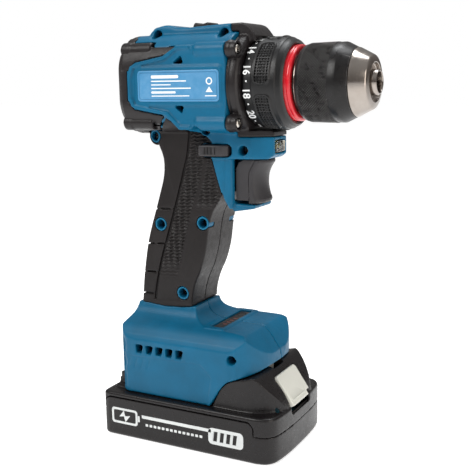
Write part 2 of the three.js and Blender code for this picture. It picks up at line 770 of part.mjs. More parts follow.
// The line a jaw slides along: it runs forwards and inwards at the jaw tilt.
function jawRod(radius, back, front) {
  const geometry = new THREE.CylinderGeometry(radius, radius, front - back, 12);
  geometry.rotateZ(-Math.PI / 2).translate((front + back) / 2, 0, 0);
  return geometry.rotateY(JAW_TILT).translate(JAW_TIP_X, 0, 1.2);
}

// A jaw in its closed place: a rod whose inner side is cut to two faces that meet the other jaws.
function closedJaw() {
  const wedge = new THREE.Shape();
  const reach = 30;
  wedge.moveTo(0, 0.25);
  wedge.lineTo(reach * Math.sin(Math.PI / 3), 0.25 + reach * Math.cos(Math.PI / 3));
  wedge.lineTo(-reach * Math.sin(Math.PI / 3), 0.25 + reach * Math.cos(Math.PI / 3));
  return solid(jawRod(JAW_R, -JAW_LENGTH, 4))
    .intersect(slabX(wedge, 50, JAW_TIP_X))
    .intersect(block(50, JAW_TIP_X, -JAW_R + 0.4, JAW_R - 0.4, 0, 40));
}

function chuckBody() {
  const body = turned(
    [[61.3, 4.9], [61.3, 19], [63.4, 19], [63.4, 17.4], [73.6, 17.4], [73.6, 11.7], [80.4, 11.7],
      [80.4, 17.4], [91.8, 17.4], [92.3, 18.5], [96, 18.2], [100.9, 14.2], [101.6, 10.4],
      [99.4, 9.6], [99.4, 7], [103.6, 6.7], [104, BORE_R], [71, BORE_R], [71, 4.9], [61.3, 4.9]],
    28,
  );
  const channels = [];
  for (let i = 0; i < 3; i++) {
    const rod = jawRod(JAW_R + GAP, -FAR, 0).rotateX((i * 2 * Math.PI) / 3);
    channels.push(solid(rod).intersect(disc(61, 99, 17)));
  }
  return body.subtract(union(...channels));
}

function chuckSleeve() {
  return turned(
    [[63.8, 17.8], [91.6, 17.8], [92, 18.6], [86.2, 21.4], [84.6, 21.5], [65, 21.1],
      [63.8, 20], [63.8, 17.8]],
    40,
  );
}

piece(spindleLine, "chuck_body", geometryOf(largest(chuckBody())), "steel");
piece(spindleLine, "chuck_sleeve", geometryOf(chuckSleeve()), "black");
piece(spindleLine, "chuck_nut", geometryOf(ring(73.9, 80.1, 12.2, 17.1, 36)), "darkSteel");
const jaw = geometryOf(closedJaw());
for (let i = 0; i < 3; i++) {
  const angle = (i * 2 * Math.PI) / 3;
  const [back, out] = [JAW_TRAVEL * Math.cos(JAW_TILT), JAW_TRAVEL * Math.sin(JAW_TILT)];
  const centre = [-back, -out * Math.sin(angle), out * Math.cos(angle)];
  piece(spindleLine, "chuck_jaw_" + (i + 1), jaw.clone(), "steel", centre, [angle, 0, 0]);
}

// ---------------------------------------------------------------- controls

function selectorKnob() {
  const grip = outline([
    [-6.3, 246], [-5.6, 248], [-4, 248.4], [-1.6, 247.7], [0.6, 247.7], [3, 248.4],
    [4.4, 248], [5, 246], [5, 241], [-6.3, 241],
  ]);
  return slabY(grip, -6, 6, 0.6);
}

// The trigger's finger face is hollowed in side view and rounded across its width in four steps.
function triggerBody() {
  const slice = (half, forward) =>
    slabY(
      outline([
        [22.8, 147.4], [34, 147.4], [34, 145.9], [36.2 + forward, 145.4], [36.7 + forward, 147.4],
        [34.9 + forward, 151.5], [34.2 + forward, 157], [34.5 + forward, 162],
        [36.2 + forward, 166.6], [39 + forward, 170.8], [22.8, 170.8],
      ]),
      -half,
      half,
    );
  return union(
    slice(10.9, 0),
    slice(9.6, 1.2),
    slice(7, 2.2),
    slice(3.5, 2.7),
    block(15.4, 24, -5, 5, 156, 164),
  );
}

function directionLever() {
  const plan = outline([
    [8.4, -20.2], [20, -20.2], [25.6, -17], [25.6, 17], [20, 20.2], [8.4, 20.2],
  ]);
  return slabZ(plan, 173.1, 179.5);
}

piece(drill, "gear_selector", geometryOf(selectorKnob()), "black");
piece(drill, "trigger", geometryOf(triggerBody()), "grey");
piece(drill, "direction_lever", geometryOf(directionLever()), "grey");
piece(drill, "switch_module", geometryOf(block(-9, 8.6, -8.6, 8.6, 149, 171.6)), "black");

function workLight() {
  const lens = outline([[-6, 175.2], [6, 175.2], [6, 181.6], [-6, 181.6]]);
  const lamp = slabX(lens, 42.4, 46.4, 0.6);
  return lamp.add(block(39, 43, -3, 3, 176.4, 180.4));
}

piece(drill, "work_light", geometryOf(workLight()), "clear");
piece(drill, "indicator_panel", geometryOf(block(9.5, 16.9, -19.3, 19.3, 69.9, 71.9)), "black");

function controllerBoard() {
  return union(
    block(-30, 18, -20, 20, 50, 52),
    pegX(-24, -6, 4, 12, 54, 12),
    block(2, 12, -12, 4, 51.8, 57),
  );
}

function terminalBlock() {
  const blades = [-10, 10].map((y) => block(-28, -16, y - 0.5, y + 0.5, 35, 42));
  return union(block(-32, -10, -13, 13, 41.4, 47.6), ...blades);
}

piece(drill, "controller_board", geometryOf(controllerBoard()), "board");
piece(drill, "terminal_block", geometryOf(terminalBlock()), "black");

// ---------------------------------------------------------------- battery pack

function packPlan(inset) {
  const half = PACK_HALF_WIDTH - inset;
  const rear = -PACK_HALF_LENGTH + inset;
  const nose = 59 - inset;
  const shape = new THREE.Shape();
  shape.moveTo(rear + 5, -half);
  shape.lineTo(42, -half);
  shape.quadraticCurveTo(53 - inset, -half, 56 - inset, -22);
  shape.quadraticCurveTo(nose, -10, nose, 0);
  shape.quadraticCurveTo(nose, 10, 56 - inset, 22);
  shape.quadraticCurveTo(53 - inset, half, 42, half);
  shape.lineTo(rear + 5, half);
  shape.quadraticCurveTo(rear, half, rear, half - 5);
  shape.lineTo(rear, -half + 5);
  shape.quadraticCurveTo(rear, -half, rear + 5, -half);
  return shape;
}

function packLower() {
  const tray = slabZ(packPlan(0), 0, PACK_SEAM_Z + 6, 2, 0, 4);
  return tray
    .intersect(block(-FAR, FAR, -FAR, FAR, -1, PACK_SEAM_Z - GAP))
    .subtract(slabZ(packPlan(PACK_WALL), PACK_WALL, FAR, 0, 0, 4));
}

function hump() {
  const side = outline([
    [14, 24], [21, 38.6], [26.8, 44.2], [39.5, 48.2], [42, 48.8], [46, 45.5], [54, 36],
    [58.4, 26], [58.6, 20], [40, 20],
  ]);
  const plan = outline([
    [10, -32], [36, -32], [50, -27], [60, -14], [60, 14], [50, 27], [36, 32], [10, 32],
  ]);
  return slabY(side, -32, 32, 3).intersect(slabZ(plan, 0, FAR));
}

// The block that slides into the tool's foot: foot, narrower neck and head, lower at the rear end.
function railBlock() {
  const half = [
    [RAIL_FOOT.half, 26], [RAIL_FOOT.half, RAIL_FOOT.top],
    [RAIL_NECK.half, RAIL_FOOT.top], [RAIL_NECK.half, RAIL_NECK.top],
    [RAIL_HEAD.half, RAIL_NECK.top], [RAIL_HEAD.half, RAIL_HEAD.top],
  ];
  const mirrored = half.map(([y, z]) => [-y, z]).reverse();
  const rearStep = block(-FAR, -51, -FAR, FAR, RAIL_NECK.top, FAR);
  return slabX(outline([...half, ...mirrored]), -54.6, 24).subtract(rearStep);
}

function buttonPlate(grow, drop) {
  const geometry = new THREE.BoxGeometry(20 + 2 * grow, 26 + 2 * grow, 3 + 2 * grow);
  geometry.rotateY(BUTTON_ANGLE).translate(BUTTON_CENTRE[0], 0, BUTTON_CENTRE[1] - drop);
  return solid(geometry);
}

function packUpper() {
  const deck = slabZ(packPlan(0), PACK_SEAM_Z - 6, PACK_DECK_Z, 1.6, 0, 4);
  const slots = [-10, 10].map((y) => block(-60, -14, y - 1.1, y + 1.1, 34.4, FAR));
  const hookBay = block(26, 44, -7, 7, 30, 60);
  const humpBay = outline([[24, 20], [27, 41.6], [41, 45.6], [54.4, 29], [55, 20]]);
  const buttonPath = [0, 1.5, 3, BUTTON_TRAVEL + 0.4].map((drop) => buttonPlate(0.4, drop));
  return deck
    .intersect(block(-FAR, FAR, -FAR, FAR, PACK_SEAM_Z, FAR))
    .add(hump())
    .add(railBlock())
    .subtract(slabZ(packPlan(PACK_WALL), 0, PACK_DECK_Z - 2.2, 0, 0, 4))
    .subtract(slabY(humpBay, -24, 24))
    .subtract(union(...slots, ...buttonPath, hookBay));
}

// One moulding: the sloped push plate, an arm behind it and a hook that stands up into the foot.
function releaseButton() {
  const arm = outline([
    [30, 33], [54.4, 33], [52, 37.5], [38, 42], [38, 47.4], [33, 48.6], [30, 48.6],
  ]);
  return buttonPlate(0, 0).add(slabY(arm, -6, 6));
}

function cellPack() {
  const cells = [];
  for (let i = 0; i < CELL_COUNT; i++) {
    cells.push(pegY(-32.5, 32.5, CELL_R, (i - (CELL_COUNT - 1) / 2) * CELL_PITCH - 2, 12.1, 12));
  }
  return union(
    ...cells,
    block(-47, 43, -31, -25, 4, 18),
    block(-47, 43, 25, 31, 4, 18),
    block(-20, 10, -12, 12, 18, 23),
  );
}

piece(drill, "battery_upper_case", geometryOf(largest(packUpper())), "black");
piece(drill, "battery_lower_case", geometryOf(packLower()), "black");
piece(drill, "battery_release_button", geometryOf(releaseButton()), "white");
piece(drill, "battery_button_spring", spring(3, 0.6, 4, 10), "steel", [37, 0, 32.1], [0, Math.PI / 2, 0]);
piece(drill, "battery_cell_pack", geometryOf(cellPack()), "cell");

export default drill;
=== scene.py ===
"""Builds the visible pieces of a cordless drill around its packed frame."""

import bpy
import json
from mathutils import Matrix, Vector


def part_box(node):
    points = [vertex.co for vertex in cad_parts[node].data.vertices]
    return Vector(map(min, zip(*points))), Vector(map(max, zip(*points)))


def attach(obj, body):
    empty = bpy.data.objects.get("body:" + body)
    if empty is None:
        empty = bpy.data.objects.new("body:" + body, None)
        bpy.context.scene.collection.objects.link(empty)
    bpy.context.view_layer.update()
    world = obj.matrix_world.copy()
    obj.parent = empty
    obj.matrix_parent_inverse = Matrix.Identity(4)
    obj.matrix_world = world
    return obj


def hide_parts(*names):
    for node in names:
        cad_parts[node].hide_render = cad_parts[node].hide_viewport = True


bl_info = {
    "name": "Cordless Drill",
    "version": (1, 0, 0),
    "blender": (4, 5, 0),
    "location": "View3D > Sidebar > Drill",
    "description": "Builds the visible pieces of a cordless drill around its packed frame",
    "category": "Object",
}

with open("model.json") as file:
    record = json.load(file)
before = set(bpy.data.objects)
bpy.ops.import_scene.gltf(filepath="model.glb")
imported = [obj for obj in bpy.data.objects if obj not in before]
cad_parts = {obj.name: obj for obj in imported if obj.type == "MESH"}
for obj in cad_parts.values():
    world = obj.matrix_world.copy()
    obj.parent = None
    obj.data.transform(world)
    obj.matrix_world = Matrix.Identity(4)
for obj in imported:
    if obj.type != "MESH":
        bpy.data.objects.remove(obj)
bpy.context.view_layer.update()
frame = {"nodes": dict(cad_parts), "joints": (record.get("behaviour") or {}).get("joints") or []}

import json
import math

import bmesh
import bpy
import numpy as np
from bpy.props import FloatProperty, FloatVectorProperty, PointerProperty
from mathutils import Matrix, Vector

# Outlines and profiles are in millimetres in the frame's own axes.
MM = 0.001
AXIS = next(j for j in frame["joints"] if j["name"] == "chuck_spin")["pos_m"][2] / MM
# Cutters reach this far, and the two halves stop this far from the middle plane.
FAR = 300
GAP = 0.15
CELL = 0.6


def box_mm(node):
    low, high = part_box(node)
    return low / MM, high / MM


# ---------------------------------------------------------------- shapes

PLANES = {
    "X": lambda a, b, c: (c, a, b),
    "Y": lambda a, b, c: (a, c, b),
    "Z": lambda a, b, c: (a, b, c),
}


def plate(points, axis, low, high):
    """A closed plate: the outline in the plane across an axis, extruded from low to high."""
    bm = bmesh.new()
    at = PLANES[axis]
    face = bm.faces.new([bm.verts.new(at(a, b, low)) for a, b in points])
    made = bmesh.ops.extrude_face_region(bm, geom=[face])
    moved = [v for v in made["geom"] if isinstance(v, bmesh.types.BMVert)]
    bmesh.ops.translate(bm, verts=moved, vec=at(0, 0, high - low))
    bmesh.ops.recalc_face_normals(bm, faces=bm.faces)
    return bm


def block(x0, x1, y0, y1, z0, z1):
    return plate([(x0, y0), (x1, y0), (x1, y1), (x0, y1)], "Z", z0, z1)


def rounded_rectangle(centre, half, radius, segments=8):
    points = []
    for turn, (sa, sb) in enumerate([(1, -1), (1, 1), (-1, 1), (-1, -1)]):
        ca = centre[0] + sa * (half[0] - radius)
        cb = centre[1] + sb * (half[1] - radius)
        for i in range(segments + 1):
            angle = math.pi / 2 * (turn - 1 + i / segments)
            points.append((ca + radius * math.cos(angle), cb + radius * math.sin(angle)))
    return points


def smooth_path(points, steps=6):
    """A Catmull-Rom line through the given points."""
    line = [Vector(p) for p in points]
    line = [2 * line[0] - line[1], *line, 2 * line[-1] - line[-2]]
    made = []
    for i in range(1, len(line) - 2):
        a, b, c, d = line[i - 1 : i + 3]
        for k in range(steps):
            t = k / steps
            made.append(
                0.5
                * (
                    2 * b
                    + (c - a) * t
                    + (2 * a - 5 * b + 4 * c - d) * t * t
                    + (3 * b - a - 3 * c + d) * t**3
                )
            )
    made.append(line[-2])
    return [tuple(p) for p in made]


def inset_outline(points, distance):
    """The outline moved inwards along its corners' bisectors."""
    area = sum(a[0] * b[1] - b[0] * a[1] for a, b in zip(points, points[1:] + points[:1]))
    side = 1 if area > 0 else -1
    made = []
    for i, p in enumerate(points):
        before = (Vector(p) - Vector(points[i - 1])).normalized()
        after = (Vector(points[(i + 1) % len(points)]) - Vector(p)).normalized()
        n1 = Vector((-before.y, before.x)) * side
        n2 = Vector((-after.y, after.x)) * side
        middle = n1 + n2
        made.append(tuple(Vector(p) + middle * (distance / max(0.4, 1 + n1.dot(n2)))))
    return made


def peg(axis, low, high, radius, centre, segments=32):
    """A round bar along X or Y at a centre given by the two other coordinates."""
    points = [
        (
            centre[0] + radius * math.cos(2 * math.pi * i / segments),
            centre[1] + radius * math.sin(2 * math.pi * i / segments),
        )
        for i in range(segments)
    ]
    return plate(points, axis, low, high)


def lathe(profile, steps=96):
    """A body turned about the spindle line from (x, radius) points."""
    bm = bmesh.new()
    closed = profile[0][1] > 0
    ring = [bm.verts.new((x, 0, AXIS + r)) for x, r in profile]
    pairs = list(zip(ring, ring[1:]))
    if closed:
        pairs.append((ring[-1], ring[0]))
    edges = [bm.edges.new(pair) for pair in pairs]
    bmesh.ops.spin(
        bm,
        geom=[*ring, *edges],
        cent=(0, 0, AXIS),
        axis=(1, 0, 0),
        angle=2 * math.pi,
        steps=steps,
        use_merge=True,
        use_duplicate=False,
    )
    bmesh.ops.remove_doubles(bm, verts=bm.verts, dist=1e-4)
    bmesh.ops.recalc_face_normals(bm, faces=bm.faces)
    return bm


def bevel(bm, width, segments=3, edges=None, angle=30):
    """Rounds the given edges, or all edges sharper than the angle."""
    if edges is None:
        limit = math.radians(angle)
        edges = [e for e in bm.edges if e.is_manifold and e.calc_face_angle(0) > limit]
    bmesh.ops.bevel(
        bm,
        geom=edges,
        offset=width,
        offset_type="OFFSET",
        segments=segments,
        profile=0.5,
        affect="EDGES",
        clamp_overlap=True,
        material=-1,
    )
    return bm


def rim_edges(bm, axis, end=0):
    """Edges between an end face across the axis and the sides; end picks the low or high one."""
    along = Vector(PLANES[axis](0, 0, 1))
    picked = []
    for edge in bm.edges:
        dots = [face.normal.dot(along) for face in edge.link_faces]
        caps = [d for d in dots if abs(d) > 0.99 and (end == 0 or d * end > 0)]
        if len(caps) == 1 and len(dots) == 2:
            picked.append(edge)
    return picked


def joined(*parts):
    """Several bmeshes as one, still overlapping."""
    whole = parts[0]
    for part in parts[1:]:
        mesh = bpy.data.meshes.new("part")
        part.to_mesh(mesh)
        part.free()
        whole.from_mesh(mesh)
        bpy.data.meshes.remove(mesh)
    return whole


def working_object(bm):
    mesh = bpy.data.meshes.new("working")
    bm.to_mesh(mesh)
    bm.free()
    made = bpy.data.objects.new("working", mesh)
    bpy.context.scene.collection.objects.link(made)
    return made


def baked(body, *tools):
    """The object with its modifiers applied, as a bmesh. The working objects are removed."""
    graph = bpy.context.evaluated_depsgraph_get()
    mesh = bpy.data.meshes.new_from_object(body.evaluated_get(graph))
    bm = bmesh.new()
    bm.from_mesh(mesh)
    bpy.data.meshes.remove(mesh)
    for used in (body, *tools):
        data = used.data
        bpy.data.objects.remove(used)
        bpy.data.meshes.remove(data)
    return bm


def carve(base, *steps):
    """Boolean steps on a closed bmesh, in order. Each step is an operation and a closed bmesh."""
    body = working_object(base)
    tools = []
    for operation, tool in steps:
        tools.append(working_object(tool))
        modifier = body.modifiers.new("step", "BOOLEAN")
        modifier.operation = operation
        modifier.solver = "MANIFOLD"
        modifier.object = tools[-1]
    return baked(body, *tools)


def add(base, *parts):
    return carve(base, *[("UNION", part) for part in parts])


def cut(base, *parts):
    return carve(base, *[("DIFFERENCE", part) for part in parts])


def common(base, *parts):
    return carve(base, *[("INTERSECT", part) for part in parts])


def soften(bm, cell, rounds, share=1.0):
    """Moulded edges: an even net of small cells, smoothed, then thinned to a share of its faces."""
    body = working_object(bm)
    remesh = body.modifiers.new("remesh", "REMESH")
    remesh.mode = "VOXEL"
    remesh.voxel_size = cell
    if rounds:
        smooth = body.modifiers.new("smooth", "SMOOTH")
        smooth.factor = 0.5
        smooth.iterations = rounds
    if share < 1:
        thin = body.modifiers.new("thin", "DECIMATE")
        thin.ratio = share
    return baked(body)


def coordinates(bm):
    return np.array([v.co for v in bm.verts], float)


def set_coordinates(bm, points):
    for vertex, point in zip(bm.verts, points):
        vertex.co = point


def round_position(points):
    """Radius and angle about the spindle line; the angle is 0 on the -Y side and grows upwards."""
    y, z = points[:, 1], points[:, 2] - AXIS
    return np.hypot(y, z), np.arctan2(z, -y)


def push_radially(bm, points, radius, height):
    shift = (height / np.maximum(radius, 1e-6))[:, None]
    offset = points - np.array([0, 0, AXIS])
    offset[:, 0] = 0
    set_coordinates(bm, points + offset * shift)
    return bm


def step_up(value, low, high):
    """0 below low, 1 above high and smooth between."""
    t = np.clip((value - low) / (high - low), 0, 1)
    return t * t * (3 - 2 * t)


def place(name, bm, body, material, replaces=(), sharp=38):
    """Makes the bmesh a finished piece in metres that rides on a body."""
    bmesh.ops.scale(bm, verts=bm.verts, vec=(MM, MM, MM))
    mesh = bpy.data.meshes.new(name)
    bm.to_mesh(mesh)
    bm.free()
    mesh.polygons.foreach_set("use_smooth", [True] * len(mesh.polygons))
    mesh.set_sharp_from_angle(angle=math.radians(sharp))
    made = bpy.data.objects.new(name, mesh)
    bpy.context.scene.collection.objects.link(made)
    mesh.materials.append(bpy.data.materials[material])
    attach(made, body)
    if replaces:
        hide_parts(*replaces)
    return made


def half_space(side):
    near, far = sorted((side * GAP, side * FAR))
    return block(-FAR, FAR, near, far, -FAR, FAR * 2)


# ---------------------------------------------------------------- housing outlines

CLAMSHELL_HOLES = [
    (-25.7, 241.9, 12.9),
    (17.9, 241.4, 12.9),
    (7.2, 188, 19),
    (29.1, 176.4, 13.5),
    (-28.7, 183.8, 16),
    (3.1, 133.5, 15),
    (-25.9, 131.1, 15),
    (-11.7, 89.8, 16),
    (29.2, 58.2, 30),
]
REAR_CORNERS = [(y, AXIS + dz) for y in (-22, 22) for dz in (19.7, -21.5)]
FRONT_CORNERS = [(y, AXIS + dz) for y in (-26, 26) for dz in (18.6, -21.2)]
HANDLE_REAR = [
    (-38, 212), (-34, 190), (-30.4, 178), (-27.3, 170), (-27.5, 161), (-30.6, 150), (-33.8, 139.6),
    (-37.2, 129), (-40.1, 118), (-43.1, 101), (-44.8, 87), (-46, 76), (-47, 60),
]
HANDLE_FRONT = [
    (-1, 60), (-1.2, 76), (-1.4, 85), (0.9, 94.7), (5.5, 104.7), (9, 116.9), (10.8, 128.7),
    (13.2, 138), (19, 148), (21.5, 160), (22, 212),
]
# The widest lines of the handle lie this far inside its side view, and its flanks are this round.
HANDLE_SETBACK = 4.2
HANDLE_ROUND = 13.5
STRAP_LINE = [(-4, 190), (-5.6, 178.7), (-6.9, 171.3), (-12.5, 151.6), (-19.5, 128.9), (-25.6, 110.4),
              (-29.9, 93.3), (-31.5, 84)]


def barrel(x0, x1, inset=0.0):
    half = (28.3 - inset, 28.5 - inset)
    return plate(rounded_rectangle((0, AXIS), half, 19 - inset, 14), "X", x0, x1)


def handle(inset=0.0):
    """The handle with rounded flanks, narrower above and below the palm."""
    points = smooth_path(HANDLE_REAR, 3) + smooth_path(HANDLE_FRONT, 3)
    half = 16.6 - inset
    bm = plate(inset_outline(points, HANDLE_SETBACK + inset), "Y", -half, half)
    bevel(bm, HANDLE_ROUND - inset, 10, rim_edges(bm, "Y"))
    points = coordinates(bm)
    squeeze = 1 - 0.05 * step_up(np.abs(points[:, 2] - 112), 12, 50)
    points[:, 1] *= squeeze
    set_coordinates(bm, points)
    x, z, _ = CLAMSHELL_HOLES[4]
    return add(bm, peg("Y", -13.8 + inset, 13.8 - inset, 5.3 - inset, (x + 0.6, z - 0.2), 40))


def grip_area(grow=0.0):
    return plate(
        [
            (-70, 185.4 + grow), (-22, 187 + grow), (-14, 195 + grow), (-3.4 + grow, 186.8 + grow),
            (5 + grow, 186 + grow), (10.4 + grow, 181), (9.6 + grow, 171), (13, 160),
            (16.6 + grow, 148), (21 + grow, 141), (21 + grow, 137), (60, 137), (60, 84 - grow),
            (0, 83 - grow), (-13, 81 - grow), (-26, 80.4 - grow), (-70, 84 - grow),
        ],
        "Y",
        -FAR,
        FAR,
    )


def tongue_areas(grow=0.0):
    """Side views of the rear cover's two forward tongues."""
    upper = [
        (-60, 241), (-36.8 + grow, 240), (-36.8 + grow, 234.5 + grow), (-4.5 + 4 * grow, 234.5 + grow),
        (-12.4, 230 - grow), (-32.6, 226.4 - grow), (-37.4, 222 - grow), (-60, 222 - grow),
    ]
    lower = [
        (-60, 204 + grow), (-37.2, 204 + grow), (-34.2, 199.6 + grow), (-15 + 2 * grow, 196.1 + grow),
        (-22.4 + 2 * grow, 187.4 - grow), (-60, 185.8 - grow),
    ]
    return plate(upper, "Y", -FAR, FAR), plate(lower, "Y", -FAR, FAR)


PANEL = [
    (-37, 206.5), (-34.6, 201.4), (-31, 199.9), (-11.5, 196.6), (-3, 188.5), (22, 188.5), (26.2, 194),
    (26.2, 230), (22, 235), (-4, 235), (-12.6, 229.4), (-31, 226.2), (-35, 224), (-37, 218.5),
]


def flank_panels():
    """Raised rims round a lower field on each flank, with a bed for the label plate."""
    parts = []
    for side in (-1, 1):
        low, high = sorted((side * 20, side * 28.9))
        parts.append(plate(PANEL, "Y", low, high))
        low, high = sorted((side * 20, side * 30.1))
        rim = cut(
            plate(PANEL, "Y", low, high),
            plate(inset_outline(PANEL, 2.0), "Y", -FAR, FAR),
            block(4, 60, -FAR, FAR, 180, 240),
        )
        parts.append(rim)
        bed = rounded_rectangle((-3.8, 212.8), (28, 10.8), 2.5, 5)
        low, high = sorted((side * 20, side * 29.7))
        parts.append(plate(bed, "Y", low, high))
    return parts


def housing_outside():
    ridge = plate(
        smooth_path(
            [(-33.6, 232), (-33.2, 239.5), (-30.6, 244), (-25.5, 246.6), (-19.2, 247.3), (-13.2, 245.7)], 4
        )
        + [(-6.4, 245.5), (8, 246.2), (21.6, 246.8), (21.6, 232)],
        "Y",
        -13,
        13,
    )
    bevel(ridge, 4.4, 6, rim_edges(ridge, "Y"))
    spine = plate(
        [(2, 190), (2, 171), (10, 141), (20.5, 141), (22.2, 147), (22.2, 190)], "Y", -15, 15
    )
    bevel(spine, 2.4, 4, rim_edges(spine, "Y"))
    lip = plate(
        smooth_path([(8, 137.5), (19, 140.2), (29, 142), (34.5, 143)], 4)
        + [(35.2, 145), (27.5, 145.1), (10, 146.6)],
        "Y",
        -11.5,
        11.5,
    )
    bevel(lip, 0.8, 2, rim_edges(lip, "Y"))
    chin_side = [
        (2, 171.6), (42.6, 171.6), (46, 173.8), (46, 184), (26.4, 184), (26.4, 190), (2, 190),
    ]
    chin_plan = [
        (2, -18), (20, -16), (34, -13.5), (46, -8.4), (46, 8.4), (34, 13.5), (20, 16), (2, 18),
    ]
    chin = common(plate(chin_side, "Y", -FAR, FAR), plate(chin_plan, "Z", 100, FAR))
    bosses = []
    for y, z in FRONT_CORNERS:
        bosses.append(peg("X", 7.6, 26.2, 4.4, (y, z), 40))
        bosses.append(peg("X", -3.5, 9, 3.2, (y, z), 40))
    screw_lugs = [peg("Y", -12.9, 12.9, 4.4, (x, z), 40) for x, z, _ in CLAMSHELL_HOLES[:2]]
    parts = [ridge, spine, lip, chin, handle(), foot(), *flank_panels(), *bosses, *screw_lugs]
    return add(barrel(-38, 26.4), *parts)


def foot():
    """The wide base over the battery: side, front and top outlines crossed."""
    side = (
        smooth_path(
            [(-42.2, 94), (-43.4, 84), (-45.4, 76), (-49.2, 68), (-51, 61), (-50, 56), (-51.3, 50.5),
             (-50, 45), (-51.3, 39.5), (-50, 34), (-50.5, 28.3)],
            4,
        )
        + [(14.5, 28.3)]
        + smooth_path([(21.5, 39.7), (27.1, 45.1), (39.5, 49), (46, 52.2)], 3)
        + smooth_path(
            [(45.2, 58), (36.8, 69.3), (31, 71.6), (10, 72.2), (1.2, 74.6), (-3.2, 80), (-4.2, 94)], 4
        )
    )
    half = smooth_path([(14.6, 94), (15.2, 83), (17.2, 77), (21, 73.6), (27.4, 70.2), (32, 65.6)], 5)
    half += [(33.5, 62.5), (33.5, 20)]
    front = half + [(-y, z) for y, z in reversed(half)]
    plan_half = smooth_path([(-52, 0), (-51.2, 19), (-48.6, 28), (-44, 32.6), (-37, 33.5)], 4)
    plan_half += [(27, 33.5)] + smooth_path([(31.5, 32.8), (38.6, 26.6), (44, 15), (46.4, 0)], 4)
    plan = plan_half + [(x, -y) for x, y in reversed(plan_half[1:-1])]
    marks = []
    for i in range(4):
        x = -43.2 + i * 4.6
        for sign in (-1, 1):
            low, high = sorted((sign * 32.4, sign * 40))
            slash = [(x, 44.2), (x + 1.3, 44.2), (x + 3.7, 50.6), (x + 2.4, 50.6)]
            marks.append(plate(slash, "Y", low, high))
    foot_body = common(
        plate(side, "Y", -60, 60), plate(front, "X", -60, 60), plate(plan, "Z", 0, 120)
    )
    step = [
        (-60, 51.8), (9, 53.4), (16.4, 46), (12, 20), (-60, 20),
    ]
    lowered = []
    for sign in (-1, 1):
        low, high = sorted((sign * 33.0, sign * 40))
        lowered.append(plate(step, "Y", low, high))
    frame_shape = rounded_rectangle((12.9, 0), (6.7, 23.6), 1.4, 4)
    raised = plate(frame_shape, "Z", 64, 72.9)
    return add(cut(foot_body, *lowered, *marks), raised)


def rail_bay():
    rows = [(28.8, 20, 30.3), (25.0, 20, 33), (28.6, 32.7, 41)]
    return [block(-FAR, FAR, -half, half, z0, z1) for half, z0, z1 in rows]


def housing_inside():
    handle_bay = [
        (-24, 200), (-20, 178), (-21, 165), (-25.5, 145), (-32, 122), (-37, 98), (-39, 60),
        (-8, 60), (-8, 88), (-2, 104), (3, 120), (5, 138), (14, 149), (14, 171.8), (26, 175),
        (26, 190),
    ]
    board_bay = [(-44, 44), (30, 47.6), (34, 60), (28, 66), (-40, 66), (-46, 62)]
    return [
        peg("X", -39, FAR, 25.2, (0, AXIS), 72),
        plate(handle_bay, "Y", -10.6, 10.6),
        plate(board_bay, "Y", -28, 28),
        block(-36, -6, -14, 14, 40, 46),
        block(22, FAR, -8, 8, 40, 50.2),
        plate(rounded_rectangle((13, 0), (3.9, 19.6), 0.8, 4), "Z", 69.6, 80),
    ]


def housing_ports():
    ports = [
        plate(rounded_rectangle((0, 159.1), (11.3, 12.2), 1.4, 4), "X", 14.4, FAR),
        plate(rounded_rectangle((12.8, 176.3), (9.6, 3.7), 2.6, 6), "Y", -FAR, FAR),
        plate(rounded_rectangle((-4, 0), (10.2, 6.4), 1, 4), "Z", 240, FAR),
        plate(rounded_rectangle((0, 178.4), (6.6, 3.8), 1, 4), "X", 42, FAR),
        block(38.4, 44, -3.4, 3.4, 176, 180.8),
    ]
    for i in range(5):
        x = -35.6 + i * 7
        ports.append(plate([(x, 54), (x + 3.6, 54), (x + 5, 59.4), (x - 0.4, 59.4)], "Y", -FAR, FAR))
    for z, tip in ((225, 229.6), (202, 197.6)):
        ports.append(plate([(-7.5, z), (0, z), (-1.5, tip)], "Y", -FAR, FAR))
    return ports


def housing_screw_holes():
    holes = []
    for x, z, reach in CLAMSHELL_HOLES:
        holes.append(peg("Y", -FAR, -reach + 7, 2.8, (x, z), 28))
        holes.append(peg("Y", -FAR, min(reach - 3, 8), 1.9, (x, z), 20))
    for y, z in REAR_CORNERS:
        holes.append(peg("X", -FAR, -21.7, 4.4, (y, z), 32))
        holes.append(peg("X", -FAR, -14, 1.9, (y, z), 16))
    for y, z in FRONT_CORNERS:
        holes.append(peg("X", 12, FAR, 1.9, (y, z), 16))
    return holes


def grip_room():
    """What the soft grip and the rear cover's tongues take out of the housing."""
    shell = cut(grip_area(0.3), handle(2.5), barrel(-FAR, FAR, 2.1))
    upper, lower = tongue_areas(0.3)
    return [shell, cut(upper, barrel(-FAR, FAR, 2.1)), cut(lower, barrel(-FAR, FAR, 2.1))]


def housing_rings():
    """Round posts that stand through the grip and carry the handle's screws."""
    posts = [peg("Y", -16, 16, 4.0, CLAMSHELL_HOLES[4][:2], 40)]
    for x, z, reach in CLAMSHELL_HOLES[5:8]:
        posts.append(peg("Y", -reach - 1.4, 0.3 - POST_DEPTH, 4.0, (x, z), 40))
        posts.append(peg("Y", POST_DEPTH - 0.3, reach + 1.4, 4.0, (x, z), 40))
    inner = [peg("Y", -reach + 1, reach - 1, 3.6, (x, z), 32) for x, z, reach in CLAMSHELL_HOLES]
    return common(joined_union(posts), handle(-0.15)), joined_union(inner)


def joined_union(parts):
    return add(parts[0], *parts[1:])


